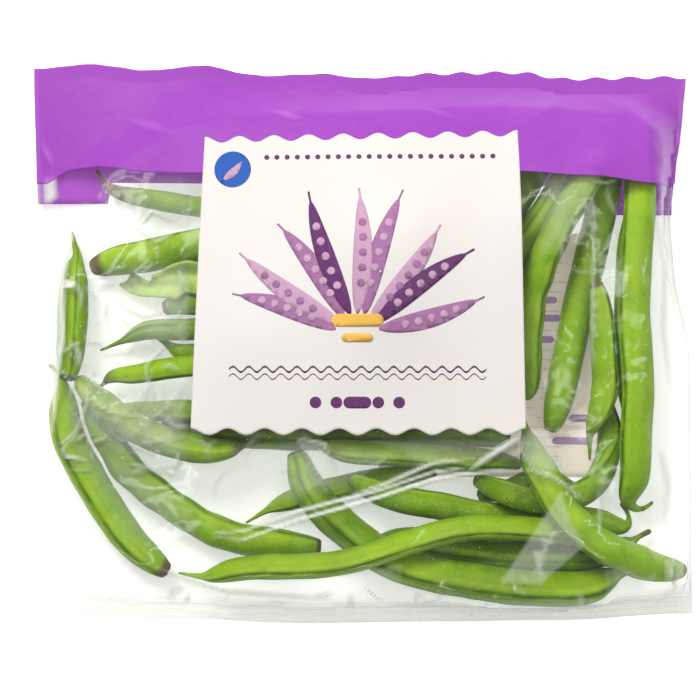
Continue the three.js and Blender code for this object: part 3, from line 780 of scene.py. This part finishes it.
# Places where the film is folded on itself and looks milky, some of them painted highlights and reflections:
# corners, softness in millimetres, whiteness
VEILS_AND_HIGHLIGHTS = [
    ([(39.2, -69.2), (56.6, -41.5), (59.8, -51.4), (64.2, -57.5), (51.4, -70)], 0.8, 0.16),
    ([(44, -28), (47, -24), (54, -24), (55.5, -32), (56.5, -37), (52, -37), (46, -34)], 1.5, 0.2),
    ([(87, -62), (94, -64), (94.5, -69), (88, -70)], 0.8, 0.2),
    ([(-97, 51), (-91, 50), (-90, 43), (-96, 40)], 2.0, 0.6),
    ([(-19, -27), (-9, -29), (-10, -43), (-16, -40)], 1.5, 0.2),
    ([(68, 22), (77, 21), (75, 13), (69, 14)], 0.8, 0.2),
    ([(-90.5, 19.2), (-83.5, 18.2), (-84.5, 16.0), (-91.5, 16.2)], 0.5, 0.85),
    ([(-92, 30), (-87, 34), (-87, 0), (-90, -12), (-93, -14)], 1.0, 0.3),
    ([(-88, -8), (-62, -10), (-46, -12), (-50, -36), (-72, -36), (-88, -24)], 7.0, 0.17),
    ([(-78, 50), (-44, 50), (-44, 32), (-62, 33), (-78, 40)], 6.0, 0.1),
    ([(-76, 22), (-44, 26), (-44, -4), (-74, 0)], 7.0, 0.17),
    ([(-90, -26), (-74, -24), (-48, -50), (-54, -66), (-70, -58)], 6.0, 0.1),
    ([(-40, -30), (-18, -27), (14, -31), (-4, -42), (-28, -48)], 4.0, 0.1),
    ([(0, -27), (44, -26), (46, -34), (16, -36)], 3.0, 0.07),
    ([(50, 50), (70, 50), (66, 30), (50, 24)], 6.0, 0.12),
]

# Where the film is crumpled finely: left, right, low and high in millimetres, count, most whiteness, which
# is milkiness and painted highlight
CRUMPLED = [
    (-88, -46, -38, -6, 46, 0.32), (-82, -46, -4, 48, 36, 0.24), (-46, 2, -46, -28, 12, 0.16),
    (52, 92, 10, 50, 12, 0.16), (46, 92, -40, 6, 6, 0.12), (-60, 70, -79, -71, 16, 0.25),
]

# Where a crease's painted shade lies from its white crest, always on the same side, by half its width
SHADE_SIDE = np.array([0.55, -0.83])
SHADE_REACH = 1.2


def small_creases():
    """Short bent creases drawn in each crumpled zone: route, height, half width, whiteness."""
    draw = pick(404)
    made = []
    for left, right, low, high, count, white in CRUMPLED:
        for _ in range(count):
            route = [np.array([draw.uniform(left, right), draw.uniform(low, high)])]
            turn = draw.uniform(0, TURN)
            for _ in range(draw.integers(2, 4)):
                turn += draw.normal(0, 0.5)
                route.append(route[-1] + draw.uniform(1.5, 4.5) * np.array([math.cos(turn), math.sin(turn)]))
            made.append((route, draw.uniform(0.1, 0.35), draw.uniform(0.5, 1.2), draw.uniform(0.05, white)))
    return made


def crumple(x, y, scale, seed, count=7):
    """Ridged waves in several directions, as film folds when it is pushed together."""
    draw = pick(seed)
    total = np.zeros(x.shape)
    for _ in range(count):
        turn = draw.uniform(0, math.pi)
        pace = draw.uniform(0.6, 1.6) / scale
        bend = draw.uniform(0.5, 2.0)
        shift = draw.uniform(0, TURN, 3)
        u = (x * math.cos(turn) + y * math.sin(turn)) * pace
        v = (-x * math.sin(turn) + y * math.cos(turn)) * pace
        ridge = 1 - np.abs(np.sin(u + bend * np.sin(v * 0.45 + shift[0]) + shift[1]))
        gate = np.clip(0.5 + 0.8 * np.sin(v * 0.3 + shift[2]) * np.cos(u * 0.2), 0, 1)
        total += ridge ** 3 * gate
    return total / count


def crease_relief(x, y):
    """Height of the creases, how milky the film looks with its painted highlights, and its painted shade at
    each point.
    """
    height, milk_and_highlight, shade = (np.zeros(x.shape) for _ in range(3))
    for route, rise, reach, white in CREASES + small_creases():
        line = np.array(route) * MM
        apart, share = away_from(line, x, y)
        taper = np.sin(np.clip(share, 0.03, 0.97) * math.pi) ** 0.5
        crest = np.clip(1 - apart / (reach * MM * (0.4 + 0.6 * taper)), 0, 1)
        height += rise * MM * taper * crest ** 1.2
        milk_and_highlight = np.maximum(milk_and_highlight, white * taper * crest)
        aside = reach * SHADE_REACH * MM
        apart, _ = away_from(line + SHADE_SIDE * aside, x, y)
        shade = np.maximum(shade, min(white, 0.95 - white) * taper * np.clip(1 - apart / aside, 0, 1))
    ragged = 0.7 + 0.8 * crumple(x, y, 3 * MM, 31)
    for corners, soft, white in VEILS_AND_HIGHLIGHTS:
        outline = np.array(corners) * MM
        apart, _ = away_from(np.vstack([outline, outline[:1]]), x, y)
        edge = np.where(inside_of(outline, x, y), np.clip(apart / (soft * MM), 0, 1), 0)
        milk_and_highlight = np.maximum(milk_and_highlight, white * edge * ragged)
    return height, milk_and_highlight, shade


def label_mask(x, y, margin):
    """1 inside the front label, falling to 0 over a margin."""
    left, low = LABEL["bottom_left"]
    right, high = LABEL["bottom_right"][0], LABEL["top_right"][1]
    out = np.maximum.reduce([left - x, x - right, low - y, y - high, np.zeros(x.shape)])
    return np.clip(1 - out / margin, 0, 1)


def film_field(puff):
    """The front film's height on the shared grid, and how far it is slack there and may crease."""
    across = np.arange(-REACH_X, REACH_X + CELL / 2, CELL)
    up = np.arange(-REACH_Y, REACH_Y + CELL / 2, CELL)
    x, y = np.meshgrid(across, up)
    floor = np.full(x.shape, SEAM_Z)
    skins = heap["skins"]
    i = np.round((skins[:, 0] + REACH_X) / CELL).astype(int)
    j = np.round((skins[:, 1] + REACH_Y) / CELL).astype(int)
    np.maximum.at(floor, (j, i), skins[:, 2] + FILM_CLEAR)
    floor = widest(floor, 1)
    low_y, high_y = span_across(FRONT_FILM_NODES, 0, across)
    low_x, high_x = (side[:, None] for side in span_across(FRONT_FILM_NODES, 1, up))
    inset, seal = 2.0 * MM, 4.5 * MM
    free = (x > low_x + inset) & (x < high_x - inset) & (y > low_y + seal) & (y < high_y - seal)
    free[0, :] = free[-1, :] = free[:, 0] = free[:, -1] = False
    coarse = floor[::COARSE, ::COARSE]
    coarse = stretch(coarse, free[::COARSE, ::COARSE], COARSE_ROUNDS, np.full(coarse.shape, SEAM_Z))
    start = np.kron(coarse, np.ones((COARSE, COARSE)))[:floor.shape[0], :floor.shape[1]]
    drum = stretch(floor, free, FINE_ROUNDS, np.where(free, start, SEAM_Z))
    flat = soften(widest(drum, 5), 40)
    label_fade, tight_edge, raised = 16 * MM, 6 * MM, 3 * MM
    mask = label_mask(x, y, label_fade)
    mask = mask * mask * (3 - 2 * mask)
    drum = drum * (1 - mask) + np.maximum(flat, drum) * mask
    swell = soften(np.where(drum > SEAM_Z + raised, 1.0, 0.0) * free, 60)
    drum = drum + puff * np.clip(1.5 * swell, 0, 1)
    slack = np.clip(soften(free.astype(float), 12) * 1.6 - 0.6, 0, 1)
    return np.where(free, drum, SEAM_Z), slack * (1 - 0.95 * label_mask(x, y, tight_edge))


def film_height(x, y, settings):
    """The front film's height with its creases and crumples, its milkiness with painted highlights, and its
    painted shade, at any points.
    """
    slack = read_field(heap["slack"], x, y)
    loose = np.clip(slack * 2, 0, 1)
    creases, milk_and_highlight, shade = crease_relief(x, y)
    fine = crumple(x, y, 4.5 * MM, 5) * 1.6 + crumple(x, y, 1.8 * MM, 9) * 0.8
    low = y - heap["bottom"](x)
    ribs = np.abs(np.sin(low / CRIMP_PITCH * TURN))
    ribs = ribs * np.clip(low / (0.6 * MM), 0, 1) * np.clip((CRIMP_LENGTH - low) / (3 * MM), 0, 1)
    aside = np.minimum(x - heap["left"](y), heap["right"](y) - x)
    rim = 0.35 * np.exp(-(np.minimum(aside, low) / RIM) ** 2)
    height = read_field(heap["field"], x, y) + (creases + settings.crumple * fine) * slack
    marks = {"folds_and_highlights": np.maximum(milk_and_highlight * loose + 0.25 * ribs, rim), "shade": shade * loose}
    return height + CRIMP_RISE * ribs, marks


# Film panels

def film_material(settings):
    paint = Paint("clear film")
    # Painted shade darkens the clear film on one side of each crease
    tone = paint.mix(paint.reading("shade"), (0.992, 0.994, 0.986), (0.3, 0.33, 0.24))
    clear = paint.add("BsdfTransparent", {"Color": tone})
    white = paint.add("BsdfDiffuse", {"Color": (0.94, 0.965, 0.87)})
    haze = paint.curve(paint.noise(70, 4, rough=0.6), 0.35, 0.75, settings.haze * 0.3, settings.haze * 2)
    dew = paint.math("MULTIPLY", paint.curve(paint.noise(1500, 1), 0.72, 0.78, 0.0, 0.25),
                     paint.curve(paint.noise(30, 2), 0.45, 0.6))
    # The film turns white where it is milky and where its highlights and reflections are painted
    milk_and_highlight = paint.math("ADD", paint.math("ADD", haze, paint.reading("folds_and_highlights")), dew)
    veil_and_highlight = paint.over(paint.math("MINIMUM", milk_and_highlight, 0.9), clear, white)
    facing = paint.add("LayerWeight", {"Blend": 0.5}).outputs["Facing"]
    glance = paint.math("MULTIPLY", paint.math("POWER", facing, 5.0), 0.6)
    shine = paint.add("BsdfGlossy", {"Roughness": settings.gloss})
    return paint.end(paint.over(paint.math("ADD", glance, 0.025), veil_and_highlight, shine))


def header_material(name, colour, glow):
    paint = Paint(name)
    grain = paint.noise(600, 3)
    tone = paint.layers(colour, [
        ((0.29, 0.05, 0.42), paint.noise(14, 2), 0.35, 0.7, 0.6),
        ((0.46, 0.18, 0.6), grain, 0.5, 0.8, 0.12),
    ])
    # Painted highlights lighten the header along its creases, and painted shade darkens it on one side of
    # them
    tone = paint.mix(paint.reading("folds_and_highlights"), tone, (0.62, 0.3, 0.75))
    tone = paint.mix(paint.math("MULTIPLY", paint.reading("shade"), 0.5), tone, (0.18, 0.02, 0.3))
    return paint.body(tone, paint.curve(grain, 0.2, 0.8, 0.3, 0.42), glow, colour)


def top_ripple(x):
    """The sealed top edge's fine waves, which fade towards the left."""
    return RIPPLE_RISE * np.cos(x / RIPPLE_PITCH * TURN) * np.clip((x + 10 * MM) / (40 * MM), 0.15, 1)


def back_band(x):
    """The back header's lower edge: it hangs lower at both sides than behind the label."""
    return np.interp(x, np.array([-98, -76.6, -76.0, 70.5, 71.5, 98]) * MM,
                     np.array([41.6, 41.9, 48.2, 47.0, 38.6, 38.3]) * MM)


def back_height(x, y):
    """The back film's height: flat on the surface in the middle, curling up to the seam."""
    curl = 24 * MM
    flat_x, flat_y = BAG_WIDTH / 2 - curl, BAG_LENGTH / 2 - curl
    over = np.hypot(np.maximum(0, np.abs(x) - flat_x), np.maximum(0, np.abs(y) - flat_y))
    share = np.clip(over / curl, 0, 1)
    return (SEAM_Z - 0.25 * MM) * share ** 2 * (3 - 2 * share) + 0.02 * MM


def panel_grid(sides, above, below, rows, columns, fine=0):
    """Plan places of a panel's grid between two edges, each a function of x, and the bag's two sides."""
    u = np.linspace(0, 1, columns)
    v = np.linspace(0, 1, rows)
    if fine:
        v = np.concatenate([np.linspace(0, FINE_FROM, rows - fine, endpoint=False),
                            np.linspace(FINE_FROM, 1, fine)])
    guide = (u - 0.5) * BAG_WIDTH
    y = above(guide) + (below(guide) - above(guide)) * v[:, None]
    left = sides["left"](y)
    return left + (sides["right"](y) - left) * u, y


class BEANBAG_OT_film(Operator):
    """Makes the front and back film panels and the purple header on each"""
    bl_idname = "bean_bag.film"
    bl_label = "Film and header"

    def execute(self, context):
        settings = context.scene.bean_film
        heap["field"], heap["slack"] = film_field(settings.puff)
        clear = edges_of(["film_front"])
        header = edges_of(["header_front"])
        front = edges_of(FRONT_FILM_NODES)
        heap.update(bottom=clear["bottom"], left=front["left"], right=front["right"])

        def top(x):
            return header["top"](x) + top_ripple(x)

        def under_header(x):
            return clear["top"](x) + OVERLAP

        film = film_material(settings)
        # Both headers give a little painted light of their own; the back one more, against the shade that
        # the front header casts on it
        purple = header_material("purple film", settings.header, 0.15)
        back_purple = header_material("back purple film with painted light", settings.header, 0.4)
        fronts = [("film", film, 0, under_header, clear["bottom"], 205, 232, 36),
                  ("header", purple, 1.5 * FILM_THICK, top, clear["top"], 70, 232)]
        for kind, material, lift, *grid in fronts:
            x, y = panel_grid(front, *grid)
            z, marks = film_height(x, y, settings)
            add_sheet("front_" + kind, x, y, z + lift, material, FILM_THICK, kind, kind + "_front", marks)
        back = edges_of(BACK_FILM_NODES)
        backs = [("film", film, back_band, clear["bottom"], 70, 240),
                 ("header", back_purple, top, back_band, 24, 240)]
        for kind, material, *grid in backs:
            x, y = panel_grid(back, *grid)
            z = back_height(x, y)
            marks = {"folds_and_highlights": np.zeros(x.shape), "shade": np.zeros(x.shape)}
            add_sheet("back_" + kind, x, y, z, material, FILM_THICK, kind, kind + "_back", marks)
        return {"FINISHED"}


# Labels

def paper_material(name, colour, warm, glow=0.0):
    paint = Paint(name)
    grain = paint.noise(1800, 2)
    tone = paint.layers(colour, [(warm, paint.noise(18, 2), 0.3, 0.7, 0.7)])
    rough = paint.curve(grain, 0.2, 0.8, 0.38, 0.5)
    return paint.body(tone, rough, glow, colour, {"Normal": paint.relief(grain, 0.02 * MM, 0.4)})


def ink_material(name, colour, glow=0.0):
    paint = Paint(name)
    grain = paint.noise(1400, 3)
    pale = tuple(min(1.0, c * 1.25 + 0.03) for c in colour)
    tone = paint.layers(colour, [(pale, grain, 0.45, 0.75, 0.4)])
    return paint.body(tone, paint.curve(grain, 0.2, 0.8, 0.36, 0.48), glow, colour)


def label_place(u, v):
    """A point of the front label by its shares across and down."""
    u, v = u[..., None], v[..., None]
    top = (1 - u) * LABEL["top_left"] + u * LABEL["top_right"]
    bottom = (1 - u) * LABEL["bottom_left"] + u * LABEL["bottom_right"]
    plan = top * (1 - v) + bottom * v
    return plan[..., 0], plan[..., 1] + LABEL["scallop"] * np.cos(u[..., 0] * LABEL["waves"] * TURN)


class BEANBAG_OT_labels(Operator):
    """Makes the scalloped front label and the beige back label"""
    bl_idname = "bean_bag.labels"
    bl_label = "Labels"

    def execute(self, context):
        settings = context.scene.bean_print
        cream = paper_material("cream label", settings.paper, (0.79, 0.72, 0.675))
        # The back label gives painted light of its own, as if lit through from the floor beneath it
        beige = paper_material("beige label", settings.back_paper, (0.8, 0.7, 0.62), glow=0.3)
        x, y = label_place(*np.meshgrid(np.linspace(0, 1, 181), np.linspace(0, 1, 110)))
        z = read_field(heap["field"], x, y) + LABEL_LIFT
        add_sheet("front_label", x, y, z, cream, LABEL_THICK, "label", "label_front")
        x, y = np.meshgrid(np.linspace(BACK_LABEL["left"], BACK_LABEL["right"], 34),
                           np.linspace(BACK_LABEL["top"], BACK_LABEL["bottom"], 38))
        z = back_height(x, y) + BACK_LABEL_LIFT
        add_sheet("back_label", x, y, z, beige, LABEL_THICK, "back_label", "label_back")
        return {"FINISHED"}


# Print on the labels

def pod_shape(root, turn, length, width, bow):
    """Outline and middle line of a bean pod that leaves its root at an angle, bowed, with a pointed tip."""
    t = np.linspace(0, 1, 26)
    half = width / 2 * np.sin(np.clip(t * 1.08, 0, 1) * math.pi) ** 0.55 * (1 - 0.25 * t)
    half = np.column_stack([np.maximum(half, width * 0.05), np.zeros(len(t))])
    middle = np.column_stack([bow * np.sin(t * math.pi * 0.9), t * length])
    c, s = math.cos(turn), math.sin(turn)
    turned = np.array([[c, s], [-s, c]])
    return np.vstack([middle + half, (middle - half)[::-1]]) @ turned + root, middle @ turned + root


def disc(centre, radius, points=40):
    a = np.arange(points) / points * TURN
    return np.column_stack([centre[0] + radius * np.cos(a), centre[1] + radius * np.sin(a)])


def bar(centre, length, height, round_points=8):
    """A bar with round ends."""
    a = np.linspace(-math.pi / 2, math.pi / 2, round_points)
    r, half = height / 2, length / 2 - height / 2
    right = np.column_stack([half + r * np.cos(a), r * np.sin(a)])
    return np.vstack([right, -right]) + np.array(centre)


def wavy_rule(centre, length, waves, height, thick):
    t = np.linspace(-0.5, 0.5, waves * 14)
    middle = np.column_stack([t * length, height * np.sin(t * waves * TURN)])
    return np.vstack([middle + [0, thick / 2], (middle - [0, thick / 2])[::-1]])[::-1] + np.array(centre)


def drape(name, outlines, material, lift, height, slot):
    """Lays flat shapes, in millimetres, over a surface as one thin closed layer of ink."""
    shapes = bmesh.new()
    for outline in outlines:
        face = shapes.faces.new([shapes.verts.new((px * MM, py * MM, 0)) for px, py in outline])
        face.normal_update()
        if face.normal.z < 0:
            face.normal_flip()
    bmesh.ops.triangulate(shapes, faces=shapes.faces[:])
    corners = np.vstack(outlines)
    for axis, low, high in zip((0, 1), corners.min(axis=0), corners.max(axis=0)):
        for value in np.arange(math.ceil(low / INK_PITCH) * INK_PITCH, high, INK_PITCH):
            place, normal = [0, 0, 0], [0, 0, 0]
            place[axis], normal[axis] = value * MM, 1
            geometry = shapes.verts[:] + shapes.edges[:] + shapes.faces[:]
            bmesh.ops.bisect_plane(shapes, geom=geometry, plane_co=place, plane_no=normal, dist=1e-7)
    x, y = (np.array([vert.co[axis] for vert in shapes.verts]) for axis in (0, 1))
    for vert, z in zip(shapes.verts, height(x, y) + lift):
        vert.co.z = z
    mesh = bpy.data.meshes.new(name)
    shapes.to_mesh(mesh)
    shapes.free()
    piece = place_mesh(name, mesh, material)
    thicken(piece, INK_THICK)
    settle_piece(piece, slot)


def sheaf():
    """A fan of pods that spring from one place, and the beans in each, by ink."""
    pods = {"mauve": [], "blush": [], "plum": []}
    beans = {"blush": [], "mauve": []}
    root = np.array([-1.5, 2.0])
    gap, width, bow, bean = 6.5, 6.2, 1.6, 1.15
    inks = ["mauve", "blush", "mauve", "plum", "blush", "mauve", "blush", "plum", "mauve"]
    for k, (ink, turn) in enumerate(zip(inks, np.radians(np.linspace(72, -72, len(inks))))):
        length = 43 - 5 * abs(math.sin(turn)) + (3 if k % 2 else 0) - gap
        start = root + gap * np.array([-math.sin(turn), math.cos(turn)])
        outline, middle = pod_shape(start, turn, length, width, bow * (-1) ** k)
        pods[ink].append(outline)
        spots = [middle[int(share * (len(middle) - 1))] for share in np.linspace(0.26, 0.74, 5)]
        beans["mauve" if ink == "blush" else "blush"] += [disc(spot, bean, 18) for spot in spots]
    return pods, beans


# The thick bars of the back label: place and length in millimetres
BACK_BARS = [(54, 13.0, 9), (56, 7.6, 7), (53, 1.2, 9), (66, -22.4, 8), (63, -29.2, 12), (30, -33.5, 14)]


class BEANBAG_OT_label_print(Operator):
    """Lays the plain generic print on both labels"""
    bl_idname = "bean_bag.label_print"
    bl_label = "Print"

    def execute(self, context):
        settings = context.scene.bean_print
        inks = {name: ink_material(name + " ink", tuple(getattr(settings, name)))
                for name in ("mauve", "plum", "blush", "amber", "blue")}
        pods, beans = sheaf()
        rules = [wavy_rule((-1.5, -7.5), 74, 16, 0.8, 0.6), wavy_rule((-1.5, -9.6), 74, 16, 0.8, 0.35)]
        rules += [bar((-1.5 + k * 6.0, -17.0), 3.4, 3.4) for k in (-2, -1, 1, 2)]
        rules += [bar((-1.5, -17.0), 8, 3.4)]
        rules += [disc((x, 54.5), 0.75, 14) for x in np.linspace(-28, 38, 23)]
        leaf, _ = pod_shape((-40.5, 48), -0.75, 7.5, 2.6, 0.5)
        prints = [("pods_" + ink, pods[ink], ink, layer) for layer, ink in enumerate(pods)]
        prints += [("beans_" + ink, beans[ink], ink, 3) for ink in beans]
        prints += [
            ("tie", [bar((-1.5, 6.6), 15, 3.6), bar((-1.5, 1.6), 9, 2.4)], "amber", 4),
            ("rules", rules, "plum", 0), ("dot", [disc((-38, 51), 5.4, 48)], "blue", 0),
            ("dot_pod", [leaf], "blush", 1),
        ]

        def on_label(x, y):
            return read_field(heap["field"], x, y)

        base = LABEL_LIFT + LABEL_THICK + INK_CLEAR
        for name, outlines, ink, layer in prints:
            drape("print_" + name, outlines, inks[ink], base + layer * INK_STEP, on_label, "label")
        bars = [bar((x, y), length, 2.1) for x, y, length in BACK_BARS]
        words = [((12 + (3.7 * row) % 5 + 10.5 * column, 30 - 2.9 * row), 9.2 - (row * 7 + column * 3) % 4)
                 for row in range(24) for column in range(5)]
        lines = [bar(place, length, 0.4, 4) for place, length in words]
        faint = [("bars", bars, "faint mauve ink", (0.38, 0.25, 0.44), INK_STEP),
                 ("rules", lines, "faint grey ink", (0.64, 0.55, 0.52), 0)]
        low = BACK_LABEL_LIFT + LABEL_THICK + INK_THICK
        for name, outlines, ink, colour, rise in faint:
            # The back label's inks give painted light of their own, like the label
            material = ink_material(ink, colour, glow=0.3)
            drape("back_print_" + name, outlines, material, low + rise, back_height, "back_label")
        return {"FINISHED"}


# Stage

# Each light's place, width, height and power, and whether the film mirrors it
LIGHTS = {
    "key light": ((-0.4, 0.75, 0.85), 0.4, 0.4, 11.0, False),
    "fill light": ((0.75, -0.1, 0.7), 0.5, 0.7, 1.6, False),
    "top light": ((0.05, 0.35, 1.3), 0.8, 0.6, 3.4, False),
    "high strip": ((-0.15, 0.55, 0.9), 0.8, 0.06, 1.0, True),
    "side strip": ((0.6, 0.1, 0.8), 0.06, 0.6, 0.6, True),
    "low strip": ((-0.2, -0.6, 0.8), 0.6, 0.05, 0.6, True),
}


def floor_material(settings):
    paint = Paint("pale floor")
    tone = paint.mix(paint.noise(6, 2), settings.floor, [c * 0.99 for c in settings.floor])
    return paint.body(tone, 0.9, settings.glow, more={"Specular IOR Level": 0.1})


class BEANBAG_OT_stage(Operator):
    """Makes the floor, the soft lights, the world and the camera"""
    bl_idname = "bean_bag.stage"
    bl_label = "Stage"

    def execute(self, context):
        settings = context.scene.bean_stage
        scene = context.scene
        size = 3.0
        corners = [(-size, -size, 0), (size, -size, 0), (size, size, 0), (-size, size, 0)]
        floor = add_mesh("floor", corners, [(0, 1, 2, 3)], floor_material(settings), smooth=False)
        floor.location.z = -0.1 * MM
        for name, (place, width, height, power, mirrored) in LIGHTS.items():
            data = bpy.data.lights.new(name, "AREA")
            data.shape = "RECTANGLE"
            data.size, data.size_y, data.energy = width, height, power
            lamp = bpy.data.objects.new(name, data)
            lamp.location = place
            lamp.visible_glossy = mirrored
            lamp.rotation_mode = "QUATERNION"
            lamp.rotation_quaternion = (-Vector(place)).to_track_quat("-Z", "Y")
            scene.collection.objects.link(lamp)
        scene.world = bpy.data.worlds.new("soft world")
        scene.world.use_nodes = True
        sky = scene.world.node_tree.nodes["Background"]
        sky.inputs["Color"].default_value = (1, 1, 1, 1)
        sky.inputs["Strength"].default_value = 0.16
        data = bpy.data.cameras.new("camera")
        data.sensor_width = 36
        data.lens = data.sensor_width * settings.camera_height / settings.view_width
        data.clip_start, data.clip_end = 0.01, 20
        scene.camera = bpy.data.objects.new("camera", data)
        scene.camera.location = Vector(settings.aim) + Vector((0, 0, settings.camera_height))
        scene.collection.objects.link(scene.camera)
        scene.view_settings.view_transform = "Standard"
        return {"FINISHED"}


# Each group of settings, and the operators that use it, in the order in which they run
STEPS = {
    "bean_pods": (PodSettings, "pods", "torn_pod"),
    "bean_film": (FilmSettings, "film"),
    "bean_print": (PrintSettings, "labels", "label_print"),
    "bean_stage": (StageSettings, "stage"),
}


class BEANBAG_PT_panel(Panel):
    """Lists the bag's settings and the operators that make it"""
    bl_idname = "BEANBAG_PT_panel"
    bl_label = "Bean Bag"
    bl_space_type = "VIEW_3D"
    bl_region_type = "UI"
    bl_category = "Bean Bag"

    def draw(self, context):
        for group, (_, *operators) in STEPS.items():
            box = self.layout.box()
            settings = getattr(context.scene, group)
            for key in settings.bl_rna.properties.keys():
                if key not in {"rna_type", "name"}:
                    box.prop(settings, key)
            for operator in operators:
                box.operator("bean_bag." + operator)


CLASSES = (
    PodSettings, FilmSettings, PrintSettings, StageSettings, BEANBAG_OT_pods, BEANBAG_OT_torn_pod,
    BEANBAG_OT_film, BEANBAG_OT_labels, BEANBAG_OT_label_print, BEANBAG_OT_stage, BEANBAG_PT_panel,
)


def register():
    for item in CLASSES:
        bpy.utils.register_class(item)
    for name, (group, *_) in STEPS.items():
        setattr(bpy.types.Scene, name, PointerProperty(type=group))


def unregister():
    for name in STEPS:
        delattr(bpy.types.Scene, name)
    for item in reversed(CLASSES):
        bpy.utils.unregister_class(item)


def main():
    register()
    bpy.ops.bean_bag.pods()
    bpy.ops.bean_bag.torn_pod()
    bpy.ops.bean_bag.film()
    bpy.ops.bean_bag.labels()
    bpy.ops.bean_bag.label_print()
    bpy.ops.bean_bag.stage()


if __name__ == "__main__":
    main()
